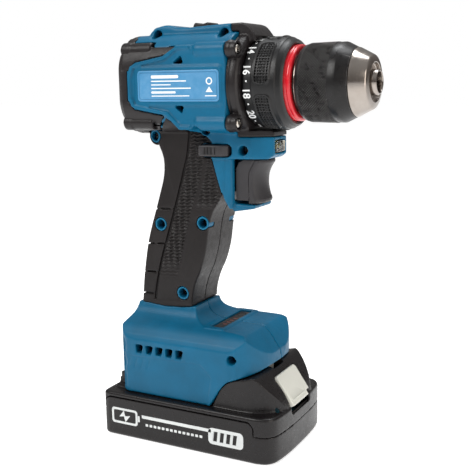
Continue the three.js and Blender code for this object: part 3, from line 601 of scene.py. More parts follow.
def build_housing():
    outside = housing_outside()
    outer_copy = outside.copy()
    hollow = cut(outside, *grip_room(), *housing_inside(), *rail_bay())
    rings, posts = housing_rings()
    rear_pegs = [peg("X", -21.4, -12, 3.9, place_yz, 32) for place_yz in REAR_CORNERS]
    front_pegs = [peg("X", 7.6, 23.8, 4.4, place_yz, 40) for place_yz in FRONT_CORNERS]
    inner_posts = common(posts, outer_copy)
    rear_pegs = [common(p, barrel(-30, 26, 0.5)) for p in rear_pegs]
    solid = add(hollow, rings, inner_posts, *front_pegs, *rear_pegs)
    cutters = [peg("X", -39, FAR, 25.2, (0, AXIS), 72), *housing_ports(), *housing_screw_holes()]
    solid = cut(solid, *cutters)
    for side, name in ((-1, "right_housing"), (1, "left_housing")):
        half = common(solid.copy(), half_space(side))
        half = scalloped(soften(half, CELL, 2, 0.5))
        place(name + "_moulding", half, "housing", "housing_blue", [name])
    solid.free()


def scalloped(bm):
    """Three shallow finger hollows across the back of the foot."""
    points = coordinates(bm)
    low = (points[:, 2] > 30) & (points[:, 2] < 63)
    wave = 0.5 - 0.5 * np.cos(2 * math.pi * (points[:, 2] - 30) / 11)
    depth = np.where(low, 1.3 * wave * step_up(-points[:, 0], 40, 49), 0)
    points[:, 0] += depth
    points[:, 1] *= 1 - 0.03 * depth
    set_coordinates(bm, points)
    return bm


# ---------------------------------------------------------------- grip

RING_HOLES = CLAMSHELL_HOLES[4:8]
# The posts reach this far inside the soft grip.
POST_DEPTH = 9.5


def grip_texture(bm):
    """Wavy ribs in two columns of the upper grip, fading out towards the palm."""
    points = coordinates(bm)
    x, y, z = points.T
    strap = np.array(smooth_path(STRAP_LINE, 4))
    order = np.argsort(strap[:, 1])
    strap_x = np.interp(z, strap[order, 1], strap[order, 0])
    channel_x = np.interp(z, [100, 143, 160, 186], [-14, -2.5, 3.4, 9.5])
    spine_x = np.interp(z, [84, 141, 148, 160, 171, 186], [60, 21, 16.6, 12.9, 9.8, 10.2])
    outward = np.clip((np.abs(y) - 8.5) / 2.5, 0, 1)
    rear_column = step_up(x, strap_x + 0.8, strap_x + 1.4) * step_up(-x, -channel_x + 0.9, -channel_x + 1.6)
    rear_column *= step_up(z, 97, 112)
    front_column = step_up(x, channel_x + 0.9, channel_x + 1.6) * step_up(-x, -spine_x + 0.6, -spine_x + 1.4)
    front_column *= step_up(z, 140, 147)
    for hx, hz, _ in RING_HOLES:
        near = step_up(np.hypot(x - hx, z - hz), 5.2, 6.4)
        rear_column *= near
        front_column *= near
    wave = z + 0.3 * np.sin(2 * math.pi * x / 4.2) - 0.06 * x
    ribs = 0.5 + 0.5 * np.sin(2 * math.pi * wave / 2.05)
    height = 1.0 * (ribs**1.3 - 0.5) * outward * np.maximum(rear_column, front_column)
    swell = 0.7 * np.exp(-(((z - 112) / 17) ** 2) - ((x + 2 - 0.3 * (z - 112)) / 9) ** 2) * outward
    normals = np.array([v.normal for v in bm.verts], float)
    outer = np.sign(y) * normals[:, 1] > 0.2
    points[:, 1] += np.sign(y) * np.where(outer, height + swell, 0)
    set_coordinates(bm, points)
    return bm


def grip_cutters():
    strap = smooth_path(STRAP_LINE, 4)
    groove = inset_strip(strap, 0.75)
    core = handle(1.3)
    cutters = [cut(plate(groove, "Y", -FAR, FAR), core.copy())]
    for z, slope in ((141, 0.12), (119.5, 0.14), (101.5, 0.1), (87.6, 0.08)):
        end = float(np.interp(z, [84, 93.3, 110.4, 128.9, 151.6], [-31.5, -29.9, -25.6, -19.5, -12.5]))
        bar = [(-70, z - 0.5 - slope * 20), (end, z - 0.5), (end, z + 0.5), (-70, z + 0.5 - slope * 20)]
        cutters.append(cut(plate(bar, "Y", -FAR, FAR), core.copy()))
    core.free()
    return cutters


def inset_strip(line, half):
    """A narrow strip along a line, as an outline."""
    left, right = [], []
    for i, p in enumerate(line):
        a = Vector(line[max(i - 1, 0)])
        b = Vector(line[min(i + 1, len(line) - 1)])
        along = (b - a).normalized()
        across = Vector((-along.y, along.x)) * half
        left.append(tuple(Vector(p) + across))
        right.append(tuple(Vector(p) - across))
    return left + right[::-1]


def build_grip():
    outer = add(handle(), barrel(-37.7, 26.1))
    skin = cut(outer, handle(2.2), barrel(-FAR, FAR, 1.8))
    skin = common(skin, grip_area())
    holes = [peg("Y", -FAR, FAR, 4.3, (x, z), 40) for x, z, _ in CLAMSHELL_HOLES[2:5]]
    for x, z, _ in CLAMSHELL_HOLES[5:8]:
        holes += [peg("Y", -FAR, -POST_DEPTH, 4.3, (x, z), 40), peg("Y", POST_DEPTH, FAR, 4.3, (x, z), 40)]
    lever_room = plate(rounded_rectangle((12.6, 176.3), (10, 4.1), 2.4, 6), "Y", -FAR, FAR)
    skin = cut(skin, *holes, lever_room, *grip_cutters())
    for side, name in ((-1, "right_grip"), (1, "left_grip")):
        half = soften(common(skin.copy(), half_space(side)), 0.42, 3)
        half = grip_texture(largest(half))
        place(name + "_overmould", half, "housing", "soft_overmould", [name], 60)
    skin.free()


def largest(bm):
    """Only the biggest of the bmesh's separate bodies."""
    seen, groups = set(), []
    for start in bm.verts:
        if start.index in seen:
            continue
        group, stack = [], [start]
        seen.add(start.index)
        while stack:
            vertex = stack.pop()
            group.append(vertex)
            for edge in vertex.link_edges:
                other = edge.other_vert(vertex)
                if other.index not in seen:
                    seen.add(other.index)
                    stack.append(other)
        groups.append(group)
    groups.sort(key=len, reverse=True)
    for group in groups[1:]:
        bmesh.ops.delete(bm, geom=group, context="VERTS")
    return bm


# ---------------------------------------------------------------- rear cover and label plates


DOME_FOOT = -38.3
DOME_DEPTH = 14.0


def dome(inset=0.0):
    """The cap's rounded end as rings that shrink towards the rear."""
    bm = bmesh.new()
    outline = rounded_rectangle((0, 0), (28.3 - inset, 28.5 - inset), 19 - inset, 14)
    rings = []
    for step in range(17):
        share = math.sin(step / 16 * math.radians(84))
        scale = (1 - share**2.3) ** (1 / 2.3)
        x = DOME_FOOT - (DOME_DEPTH - inset) * share
        rings.append([bm.verts.new((x, y * scale, AXIS + z * scale)) for y, z in outline])
    bm.faces.new(rings[0])
    bm.faces.new(rings[-1][::-1])
    for first, second in zip(rings, rings[1:]):
        for i in range(len(first)):
            bm.faces.new((first[i - 1], first[i], second[i], second[i - 1]))
    bmesh.ops.recalc_face_normals(bm, faces=bm.faces)
    return bm


def build_rear_cover():
    cap = dome()
    tongues = []
    for area in tongue_areas():
        tongues.append(common(cut(barrel(-42, 60), barrel(-FAR, FAR, 1.8)), area))
    bosses = []
    for y, z in REAR_CORNERS:
        boss = peg("X", -43.6, -23.4, 4.1, (y, z), 40)
        bosses.append(bevel(boss, 0.7, 3, rim_edges(boss, "X")))
        collar = peg("X", -43.2, -37.4, 4.5, (y, z), 40)
        bosses.append(bevel(collar, 0.6, 3, rim_edges(collar, "X")))
    body = add(cap, *tongues, *bosses)
    seat = lathe([(-51.2, 0), (-51.2, 11), (-45, 11), (-45, 8.3), (-50.6, 8.3), (-50.6, 0)], 48)
    body = cut(body, dome(2.0), peg("X", DOME_FOOT - 0.1, FAR, 26.3, (0, AXIS), 72))
    body = add(body, seat)
    cutters = []
    for y, z in REAR_CORNERS:
        cutters.append(peg("X", -FAR, -41.6, 2.7, (y, z), 32))
        cutters.append(peg("X", -FAR, FAR, 1.9, (y, z), 24))
    for i in range(5):
        slot = rounded_rectangle((-12 + i * 6, AXIS), (1.2, 10.5), 1.1, 4)
        cutters.append(plate(slot, "X", -55, -49.4))
    body = largest(soften(cut(body, *cutters), 0.5, 2, 0.6))
    place("rear_cap_moulding", body, "housing", "black_moulding", ["rear_cover"])


LABEL_SHIFT = 1.4


def build_label_plates():
    for side, name in ((-1, "right"), (1, "left")):
        low, high = box_mm(name + "_label_plate")
        middle = (low + high) / 2 - Vector((LABEL_SHIFT, 0, 0))
        half = (high - low) / 2
        y0, y1 = low.y + 0.25, high.y + 0.0
        if side < 0:
            y0, y1 = low.y, high.y - 0.25
        outline = rounded_rectangle((middle.x, middle.z), (half.x, half.z), 2, 8)
        base = plate(outline, "Y", y0, y1)
        bevel(base, 0.18, 2, rim_edges(base, "Y", side))
        groove = cut(
            plate(
                rounded_rectangle((middle.x, middle.z), (half.x - 1.1, half.z - 1.1), 1.4, 6),
                "Y", y0 - 1, y1 + 1,
            ),
            plate(
                rounded_rectangle((middle.x, middle.z), (half.x - 1.4, half.z - 1.4), 1.2, 6),
                "Y", y0 - 2, y1 + 2,
            ),
            block(-FAR, FAR, y0 + 0.12 if side < 0 else -FAR, FAR if side < 0 else y1 - 0.12, 0, FAR),
        )
        place(
            name + "_rating_plate", cut(base, groove), "housing", "plate_blue",
            [name + "_label_plate"],
        )
        marks = []
        surface = y0 if side < 0 else y1
        for x, z, w, h in (
            (-11.5, 218.0, 9, 0.85), (-9, 215.6, 11.5, 0.32), (-14, 213.6, 6.5, 0.28),
            (-7.5, 211.6, 13, 0.32), (-12.5, 209.4, 8, 0.6), (-8, 207.4, 12.4, 0.26),
            (18, 207.4, 3.6, 0.26),
        ):
            bar = rounded_rectangle((x, z), (w, h), h * 0.8, 3)
            marks.append(plate(bar, "Y", surface - 0.06, surface + 0.06))
        ring = cut(peg("Y", surface - 0.06, surface + 0.06, 2.0, (17, 215.4), 32),
                   peg("Y", -FAR, FAR, 1.3, (17, 215.4), 32))
        marks.append(ring)
        marks.append(plate([(14.8, 209.4), (19.2, 209.4), (17, 212.4)], "Y", surface - 0.06, surface + 0.06))
        place(name + "_plate_print", joined(*marks), "housing", "print_white")


# ---------------------------------------------------------------- gearbox case and screws


def build_gearbox_case():
    body = lathe(
        [
            (2.4, 20.3), (28, 20.3), (28, 7.2), (60, 7.2), (60, 17), (33.8, 17), (33.8, 24.6),
            (33.2, 27.4), (32, 28.9), (30.2, 29.4), (28.6, 29.4), (28.2, 28.9), (27.6, 28.9),
            (27.2, 29.4), (26.8, 29.4), (26.8, 21.5), (2.4, 21.5),
        ],
        128,
    )
    dome_side = [(26.8, AXIS + 16), (26.8, AXIS + 28.9), (21.9, AXIS + 28.9), (21.9, AXIS + 33.2)]
    dome_side += smooth_path(
        [(28.7, AXIS + 33.3), (32, AXIS + 32), (34.6, AXIS + 29.4), (37, AXIS + 26.2)], 4
    )
    dome_side += [(37, AXIS + 16)]
    dome = plate(dome_side, "Y", -12.4, 12.4)
    bevel(dome, 2.0, 4, [e for e in rim_edges(dome, "Y") if min(v.co.z for v in e.verts) > AXIS + 28.9])
    lip_side = [
        (26.8, 184.3), (26.8, 189.5), (33, 189.5), (33, 187.6), (44.6, 187.6), (46, 186.6), (46, 184.3),
    ]
    lip_plan = smooth_path([(26, 16), (34, 14), (46, 8.6)], 4)
    lip_plan += [(x, -y) for x, y in reversed(lip_plan)]
    lip = common(plate(lip_side, "Y", -FAR, FAR), plate(lip_plan, "Z", 100, 200))
    bosses = []
    for corner in FRONT_CORNERS:
        boss = peg("X", 26.8, 33.2, 4.6, corner, 40)
        bosses.append(bevel(boss, 0.5, 3, rim_edges(boss, "X", 1)))
        collar = peg("X", 27.6, 30.0, 4.95, corner, 40)
        bosses.append(bevel(collar, 0.4, 2, rim_edges(collar, "X")))
    body = add(body, dome, lip, *bosses)
    channel = lathe([(33.5, 17), (70, 17), (70, 25.9), (33.5, 25.9)], 128)
    seats = [peg("X", 30.8, 40, 3.15, corner, 40) for corner in FRONT_CORNERS]
    bores = [peg("X", 20, 40, 1.9, corner, 24) for corner in FRONT_CORNERS]
    mark = plate([(29.6, -1.6), (29.6, 1.6), (33.4, 0)], "Z", AXIS + 32.3, AXIS + 40)
    body = cut(body, channel, *seats, *bores, mark)
    body = largest(soften(body, 0.5, 1, 0.6))
    place("gearbox_moulding", body, "housing", "black_moulding", ["gearbox_case"])


def driven_head(x0, length, direction, centre):
    """A pan-head screw with a cross recess, its head's outer face at x0."""
    y, z = centre
    bm = lathe(
        [
            (0, 0), (0, 1.1), (0.12, 1.7), (0.4, 2.2), (0.8, 2.4), (2.2, 2.4), (2.2, 1.3),
            (length, 1.3), (length + 1, 0),
        ],
        32,
    )
    arms = [
        block(-1, 1.1, -1.5, 1.5, AXIS - 0.32, AXIS + 0.32),
        block(-1, 1.1, -0.32, 0.32, AXIS - 1.5, AXIS + 1.5),
    ]
    bm = cut(bm, add(*arms))
    if direction < 0:
        bmesh.ops.rotate(bm, verts=bm.verts, cent=(0, 0, AXIS), matrix=Matrix.Rotation(math.pi, 3, "Z"))
    bmesh.ops.translate(bm, verts=bm.verts, vec=(x0, y, z - AXIS))
    return bm


def build_screws():
    for group, direction, material, slot in (
        ("gearbox_screw_", -1, "bright_screw", "gear_steel"),
        ("rear_screw_", 1, "black_screw", "dark_steel"),
    ):
        for i in range(1, 5):
            low, high = box_mm(group + str(i))
            centre = ((low.y + high.y) / 2, (low.z + high.z) / 2)
            start = high.x if direction < 0 else low.x
            bm = driven_head(start, high.x - low.x - 1, direction, centre)
            place(group + str(i) + "_turned", bm, "housing", material, [group + str(i)])
    for i in range(1, 10):
        name = "clamshell_screw_" + str(i)
        low, high = box_mm(name)
        bm = driven_head(0, high.y - low.y - 1, 1, (0, AXIS))
        turn = Matrix.Rotation(math.pi / 2, 3, "Z")
        bmesh.ops.rotate(bm, verts=bm.verts, cent=(0, 0, AXIS), matrix=turn)
        middle = (low + high) / 2
        bmesh.ops.translate(bm, verts=bm.verts, vec=(middle.x, low.y, middle.z - AXIS))
        place(name + "_turned", bm, "housing", "black_screw", [name])


# ---------------------------------------------------------------- torque collar

PADS = 5
PAD_START = math.radians(-7.3)
PAD_GAP = math.radians(10.6)
UNIT = 15.0
UNIT_ZERO = 257.0


def spread(low, high, step):
    count = max(1, round((high - low) / step))
    return [low + (high - low) * i / count for i in range(count + 1)]


def build_torque_collar():
    profile = [(34.3, 21.4), (34.3, 23.6), (34.6, 24.15), (35, 24.35)]
    profile += [(x, 24.35 + 0.02 * (x - 35)) for x in spread(36, 39.2, 0.8)]
    profile += [(39.4, 24.2), (39.7, 24.2), (39.9, 25.3)]
    profile += [(x, 25.35) for x in spread(40.1, 51.9, 0.31)]
    profile += [(53.0, 25.25), (53.6, 25.15), (54.0, 24.7), (55.9, 24.0), (56.3, 23.8), (57.5, 22.5)]
    profile += [(57.4, 22.2), (57.1, 21.4)]
    bm = lathe(profile, 720)
    points = coordinates(bm)
    radius, angle = round_position(points)
    pitch = 2 * math.pi / PADS
    middle = PAD_START - PAD_GAP / 2 - (pitch - PAD_GAP) / 2
    local = (angle - middle + pitch / 2) % pitch - pitch / 2
    along = np.abs(local) * 25.4
    across = np.abs(points[:, 0] - 46)
    half_along, half_across, corner = 25.4 * (pitch - PAD_GAP) / 2, 5.1, 3.6
    qa = np.maximum(along - half_along + corner, 0)
    qb = np.maximum(across - half_across + corner, 0)
    edge = np.hypot(qa, qb) - corner + np.minimum(
        np.maximum(along - half_along + corner, across - half_across + corner), 0
    )
    border = step_up(-edge, -0.05, 0.35) * (1 - step_up(-edge, 1.0, 1.35))
    field = step_up(-edge, 1.0, 1.35)
    rows = np.abs(((points[:, 0] - 46) / 1.75 + 0.5) % 1 - 0.5) * 2
    columns = np.abs((local * 25.4 / 1.7) % 1 - 0.5) * 2
    square = step_up(np.maximum(rows, columns), 0.45, 0.8)
    height = 0.75 * border + field * (0.75 * square - 0.4)
    on_top = (radius > 25) & (points[:, 0] > 40) & (points[:, 0] < 52)
    bm = push_radially(bm, points, radius, np.where(on_top, height, 0))
    place("torque_collar_moulding", bm, "collar", "collar_black", ["torque_collar"])
    build_torque_scale()


def wrapped(bm, degrees, x, radius):
    """Turns a flat mark in the XY plane so that it lies on the collar, its top towards the chuck."""
    a = math.radians(degrees)
    right = Vector((0, -math.sin(a), -math.cos(a)))
    up = Vector((1, 0, 0))
    out = Vector((0, -math.cos(a), math.sin(a)))
    turn = Matrix((right, up, out)).transposed()
    for vertex in bm.verts:
        vertex.co = turn @ vertex.co + out * radius + Vector((x, 0, AXIS))
    return bm


def numeral(text, size):
    curve = bpy.data.curves.new("numeral", "FONT")
    curve.body = text
    curve.size = size
    curve.extrude = 0.1
    curve.offset = 0.12
    curve.align_x = "CENTER"
    curve.align_y = "CENTER"
    curve.resolution_u = 3
    holder = bpy.data.objects.new("numeral", curve)
    bpy.context.scene.collection.objects.link(holder)
    mesh = bpy.data.meshes.new_from_object(
        holder.evaluated_get(bpy.context.evaluated_depsgraph_get())
    )
    bm = bmesh.new()
    bm.from_mesh(mesh)
    bpy.data.meshes.remove(mesh)
    bpy.data.objects.remove(holder)
    bpy.data.curves.remove(curve)
    shape = coordinates(bm)
    set_coordinates(bm, shape - (shape.min(axis=0) + shape.max(axis=0)) / 2)
    return bm


def build_torque_scale():
    marks = []
    for value in range(1, 21):
        degrees = UNIT_ZERO - UNIT * value
        if value % 2 == 0:
            marks.append(wrapped(numeral(str(value), 6.0), degrees, 36.75, 24.43))
        else:
            dot = bmesh.new()
            bmesh.ops.create_cone(
                dot, cap_ends=True, segments=16, radius1=0.55, radius2=0.5, depth=0.3
            )
            marks.append(wrapped(dot, degrees + 1.4, 36.75, 24.38))
    dot = bmesh.new()
    bmesh.ops.create_cone(dot, cap_ends=True, segments=16, radius1=0.55, radius2=0.5, depth=0.3)
    marks.append(wrapped(dot, -56.5, 36.9, 24.38))
    bit = [plate([(-2.6, -0.55), (-1.0, -0.55), (-1.0, 0.55), (-2.6, 0.55)], "Z", -0.1, 0.1)]
    for i in range(3):
        x = -0.8 + i * 0.9
        bit.append(plate([(x, -0.7), (x + 0.55, -0.7), (x + 0.95, 0.7), (x + 0.4, 0.7)], "Z", -0.1, 0.1))
    bit.append(plate([(1.95, -0.7), (2.9, 0), (2.2, 0.7)], "Z", -0.1, 0.1))
    marks.append(wrapped(joined(*bit), -73, 36.9, 24.42))
    place("torque_scale_print", joined(*marks), "collar", "print_white")


# ---------------------------------------------------------------- accent ring and chuck


def build_accent_ring():
    bm = lathe(
        [
            (54.6, 17.3), (60.5, 17.3), (60.8, 17.7), (60.8, 19.9), (60.5, 20.5), (59.9, 20.9),
            (59.0, 20.95), (58.6, 20.7), (58.3, 20.9), (54.6, 20.9),
        ],
        128,
    )
    place("accent_ring_turned", bm, "housing", "gloss_red", ["accent_ring"])


def jaw_line(bm, index):
    """Carries a bar on local X to the line that a jaw slides along."""
    bmesh.ops.rotate(bm, verts=bm.verts, cent=(0, 0, 0), matrix=Matrix.Rotation(math.radians(15), 3, "Y"))
    bmesh.ops.translate(bm, verts=bm.verts, vec=(100.5, 0, 1.2))
    turn = Matrix.Rotation(index * 2 * math.pi / 3, 3, "X")
    bmesh.ops.rotate(bm, verts=bm.verts, cent=(0, 0, 0), matrix=turn)
    bmesh.ops.translate(bm, verts=bm.verts, vec=(0, 0, AXIS))
    return bm


def build_chuck_body():
    profile = [
        (61.3, 4.9), (61.3, 17.7), (61.5, 17.9), (63.2, 17.9), (63.4, 17.7), (63.4, 17.4), (73.6, 17.4),
        (73.6, 11.7), (80.4, 11.7), (80.4, 17.4), (91.8, 17.4), (92.0, 18.2), (92.4, 18.5),
        (92.9, 18.4), (93.3, 18.2), (100.2, 14.7), (100.7, 14.3), (101.0, 13.7), (101.4, 12.2),
        (101.6, 10.8), (101.4, 10.4), (99.7, 10.0), (99.4, 9.6), (99.4, 7.3), (99.8, 6.95),
        (103.2, 6.8), (103.8, 6.5), (104.0, 6.0), (103.8, 5.6), (103.2, 5.4), (71, 5.5), (71, 4.9),
    ]
    bm = lathe(profile, 128)
    channels = []
    for i in range(3):
        channel = common(jaw_line(peg("X", -60, 0, 3.3, (0, 0), 32), i),
                         lathe([(61, 0), (61, 17), (99, 17), (99, 0)], 64))
        channels.append(channel)
        slot = jaw_line(block(-12, 3, -2.9, 2.9, -2.2, 3.4), i)
        channels.append(common(slot, lathe([(94, 0), (94, 10.2), (101.9, 10.2), (101.9, 0)], 64)))
    bm = largest(cut(bm, *channels))
    place("chuck_body_turned", bm, "spindle", "nickel", ["chuck_body"], 30)


KNURLS = 92
KNURL_PITCH = 1.44


def build_chuck_sleeve():
    profile = [(63.0, 18.3), (62.5, 18.7), (62.5, 19.2), (62.9, 20.1), (63.8, 20.75), (65.2, 21.05)]
    profile += [(x, 21.1 + 0.02 * (x - 65.5)) for x in spread(65.5, 82.2, 0.24)]
    profile += [(82.6, 21.5), (85.6, 21.55), (86.2, 21.4), (86.6, 21.2), (91.5, 18.75), (91.8, 18.5)]
    profile += [(91.8, 18.2), (91.6, 17.8), (63.8, 17.8)]
    bm = lathe(profile, KNURLS * 8)
    points = coordinates(bm)
    radius, angle = round_position(points)
    around = angle * KNURLS / (2 * math.pi)
    along = points[:, 0] / KNURL_PITCH
    ridge_a = np.abs((around + along) % 1 - 0.5) * 2
    ridge_b = np.abs((around - along) % 1 - 0.5) * 2
    pyramid = np.minimum(1 - ridge_a, 1 - ridge_b)
    zone = step_up(points[:, 0], 65.4, 65.9) * (1 - step_up(points[:, 0], 81.4, 81.9))
    height = np.where(radius > 20.9, zone * (0.85 * pyramid - 0.35), 0)
    bm = push_radially(bm, points, radius, height)
    place("chuck_sleeve_turned", bm, "sleeve", "sleeve_black", ["chuck_sleeve"])


JAW_TRAVEL = 18.5
JAW_TILT = math.radians(15)


def build_jaws():
    for i in range(3):
        rod = peg("X", -19, 4, 3, (0, 0), 48)
        rod = jaw_line(rod, 0)
        wedge = plate([(0, AXIS + 0.25), (26, AXIS + 15.25), (-26, AXIS + 15.25)], "X", 50, 100.5)
        flat = block(50, 100.5, -2.6, 2.6, AXIS, AXIS + 40)
        rod = bevel(common(rod, wedge, flat), 0.15, 2, angle=50)
        angle = i * 2 * math.pi / 3
        turn = Matrix.Rotation(angle, 3, "X")
        bmesh.ops.rotate(rod, verts=rod.verts, cent=(0, 0, AXIS), matrix=turn)
        back = JAW_TRAVEL * math.cos(JAW_TILT)
        out = JAW_TRAVEL * math.sin(JAW_TILT)
        shift = (-back, -out * math.sin(angle), out * math.cos(angle))
        bmesh.ops.translate(rod, verts=rod.verts, vec=shift)
        name = "chuck_jaw_" + str(i + 1)
        place(name + "_ground", rod, "jaw_" + str(i + 1), "tool_steel", [name])


# ---------------------------------------------------------------- controls


def build_selector():
    low, high = box_mm("gear_selector")
    top = smooth_path(
        [
            (-6.2, 246.4), (-5.4, 247.9), (-4.2, 248.3), (-1.6, 247.7),
            (0.6, 247.7), (3, 248.3), (4.2, 247.9), (4.9, 246.4),
        ],
        4,
    )
    bm = plate(top + [(4.9, low.z), (-6.2, low.z)], "Y", low.y, high.y)
    bevel(bm, 0.6, 3, rim_edges(bm, "Y"))
    grooves = [block(x - 0.22, x + 0.22, -FAR, FAR, 247.45, 250) for x in (-2.4, -1.4, -0.4, 0.6, 1.6)]
    place("gear_selector_moulding", cut(bm, *grooves), "selector", "black_moulding",
          ["gear_selector"])


TRIGGER_CROWN = 4.2


def build_trigger():
    front = smooth_path(
        [(36.2, 145.6), (38.6, 146.2), (39.3, 147.9), (38.4, 150.3), (37.5, 154), (37.2, 158), (37.7, 162.5),
         (39.4, 166.5), (41.4, 169.4)], 5
    )
    below = [(22.8, 147.4), (33.4, 147.4), (34.4, 145.9)]
    above = [(41.2, 170.8), (27.5, 170.8), (24.6, 169.4), (22.8, 166)]
    side = below + front + above
    bm = plate(side, "Y", -10.8, 10.8)
    edges = [
        e
        for e in rim_edges(bm, "Y")
        if min(v.co.x for v in e.verts) > 35.5 and min(v.co.z for v in e.verts) < 169.9
    ]
    bevel(bm, 5.2, 8, edges)
    crease_line = smooth_path(
        [(33.6, 145), (34.2, 151.3), (33.6, 157), (34.2, 162.5), (37.4, 168.4), (39, 171.5)], 5
    )
    crease = plate(inset_strip(crease_line, 0.45), "Y", -FAR, FAR)
    crease = cut(crease, block(0, 60, -9.8, 9.8, 100, 200))
    stem = block(15.4, 24, -5, 5, 156, 164)
    bm = cut(add(bm, stem), crease)
    bm = soften(bm, 0.4, 2)
    points = coordinates(bm)
    reach = step_up(points[:, 0], 27, 37) * (np.abs(points[:, 1]) / 10.8) ** 2
    points[:, 0] -= TRIGGER_CROWN * reach
    set_coordinates(bm, points)
    place("trigger_moulding", bm, "trigger", "trigger_grey", ["trigger"])


def build_lever():
    half = [(3.6, 20.0), (13.6, 20.0)] + smooth_path([(13.6, 20.0), (17.8, 19.0), (20.4, 16.2)], 4)[1:]
    plan = half + [(x, -y) for x, y in reversed(half)]
    bm = plate(plan, "Z", 173.1, 179.5)
    bevel(bm, 0.9, 3, rim_edges(bm, "Z"))
    notches = []
    for sign in (-1, 1):
        for i in range(4):
            x = 7.5 + i * 2.2
            low, high = sorted((sign * 19.75, sign * 22))
            notches.append(block(x - 0.3, x + 0.3, low, high, 174.2, 178.4))
    place("direction_lever_moulding", cut(bm, *notches), "lever", "trigger_grey",
          ["direction_lever"])


def build_work_light():
    lens = plate(rounded_rectangle((0, 178.4), (6, 3.2), 0.9, 5), "X", 42.4, 46.4)
    bevel(lens, 0.6, 3, rim_edges(lens, "X", 1))
    hollow = cut(lens, peg("X", 41, 44.6, 2.6, (0, 178.4), 32))
    place("work_light_lens", hollow, "housing", "clear_lens", ["work_light"])
    lamp = lathe([(39.2, 0), (39.2, 2.2), (43.2, 2.2), (44.0, 1.6), (44.3, 0)], 32)
    bmesh.ops.translate(lamp, verts=lamp.verts, vec=(0, 0, 178.4 - AXIS))
    place("work_light_lamp", lamp, "housing", "lamp_yellow")
    cup = cut(
        plate(rounded_rectangle((0, 178.4), (6.2, 3.4), 0.9, 5), "X", 41.8, 42.3),
        peg("X", 40, 44, 2.35, (0, 178.4), 32),
    )
    place("work_light_reflector", cup, "housing", "nickel")


def build_indicator():
    low, high = box_mm("indicator_panel")
    middle, half = (low + high) / 2, (high - low) / 2
    base = plate(rounded_rectangle((middle.x, middle.y), (half.x, half.y), 0.7, 5), "Z", low.z, high.z)
    bevel(base, 0.2, 2, rim_edges(base, "Z", 1))
    windows, lamps = [], []
    for i in range(4):
        y = -9.5 + i * 4.4
        window = rounded_rectangle((middle.x, y), (1.5, 1.0), 0.4, 4)
        windows.append(plate(window, "Z", high.z - 0.4, high.z + 1))
        lamp = rounded_rectangle((middle.x, y), (1.4, 0.9), 0.35, 4)
        lamps.append(plate(lamp, "Z", high.z - 0.38, high.z - 0.12))
    key = cut(
        plate(rounded_rectangle((middle.x, 12.5), (2.3, 3.2), 2, 8), "Z", high.z - 0.3, high.z + 1),
        plate(rounded_rectangle((middle.x, 12.5), (2.0, 2.9), 1.8, 8), "Z", high.z - 2, high.z + 2),
    )
    place("indicator_window", cut(base, *windows, key), "housing", "collar_black",
          ["indicator_panel"])
    place("indicator_lamps", joined(*lamps), "housing", "indicator_lens")


# ---------------------------------------------------------------- battery


def pack_plan(inset=0.0):
    half = smooth_path([(59, 0), (58.8, 14), (57.8, 26), (56.2, 32.2), (52.4, 36.4), (46.5, 38)], 5)
    half += smooth_path([(-54.2, 38), (-57.0, 37.2), (-58.3, 35.4), (-58.6, 32)], 4)
    points = half + [(x, -y) for x, y in reversed(half[1:])]
    return inset_outline(points, inset) if inset else points


SIDE_LABEL = ((-6, 11.9), (51.2, 12.9), 4.5)


def side_label(grow, depth):
    """The field on each side of the pack where the lower case reaches up beside the upper one."""
    (centre, half, corner) = SIDE_LABEL
    shape = rounded_rectangle(centre, (half[0] + grow, half[1] + grow), corner, 6)
    fields = []
    for sign in (-1, 1):
        low, high = sorted((sign * (38 - depth), sign * 45))
        fields.append(plate(shape, "Y", low, high))
    return fields


def build_battery_lower():
    case = plate(pack_plan(), "Z", 0, 28)
    bevel(case, 2.4, 5, rim_edges(case, "Z", -1))
    bevel(case, 1.6, 4, rim_edges(case, "Z", 1))
    low_part = common(case.copy(), block(-FAR, FAR, -FAR, FAR, -1, 16.7))
    fields = [common(case.copy(), field) for field in side_label(-0.15, 2.2)]
    case.free()
    body = add(low_part, *fields)
    body = cut(body, plate(pack_plan(2.4), "Z", 2.4, 60))
    body = soften(body, 0.55, 2, 0.5)
    place("battery_tray_moulding", body, "battery", "pack_black", ["battery_lower_case"])


def hump():
    side = (
        [(14, 24)]
        + smooth_path(
            [
                (21, 38.6), (26.8, 44.2), (39.5, 48.1), (42.6, 48.4),
                (46, 45.6), (54, 36), (58.3, 26.5), (58.9, 20),
            ],
            4,
        )
        + [(40, 20)]
    )
    plan_half = smooth_path([(60, 0), (59.6, 10), (57, 19), (50, 27), (42, 31), (34, 32)], 4) + [(10, 32)]
    plan = plan_half + [(x, -y) for x, y in reversed(plan_half[1:])]
    body = plate(side, "Y", -32, 32)
    hump_edges = [
        e
        for e in rim_edges(body, "Y")
        if min(v.co.x for v in e.verts) > 20.5 and min(v.co.z for v in e.verts) > 21
    ]
    bevel(body, 6, 6, hump_edges)
    return common(body, plate(plan, "Z", 0, 100))


def rail_block():
    half = [(28.4, 26), (28.4, 30), (24.6, 30), (24.6, 33), (28.2, 33), (28.2, 38.4)]
    section = half + [(-y, z) for y, z in reversed(half)]
    return cut(plate(section, "X", -54.6, 24), block(-FAR, -51, -FAR, FAR, 33, FAR))


BUTTON_TILT = math.atan2(21, 14.3)
BUTTON_AT = (53.1, 36.2)


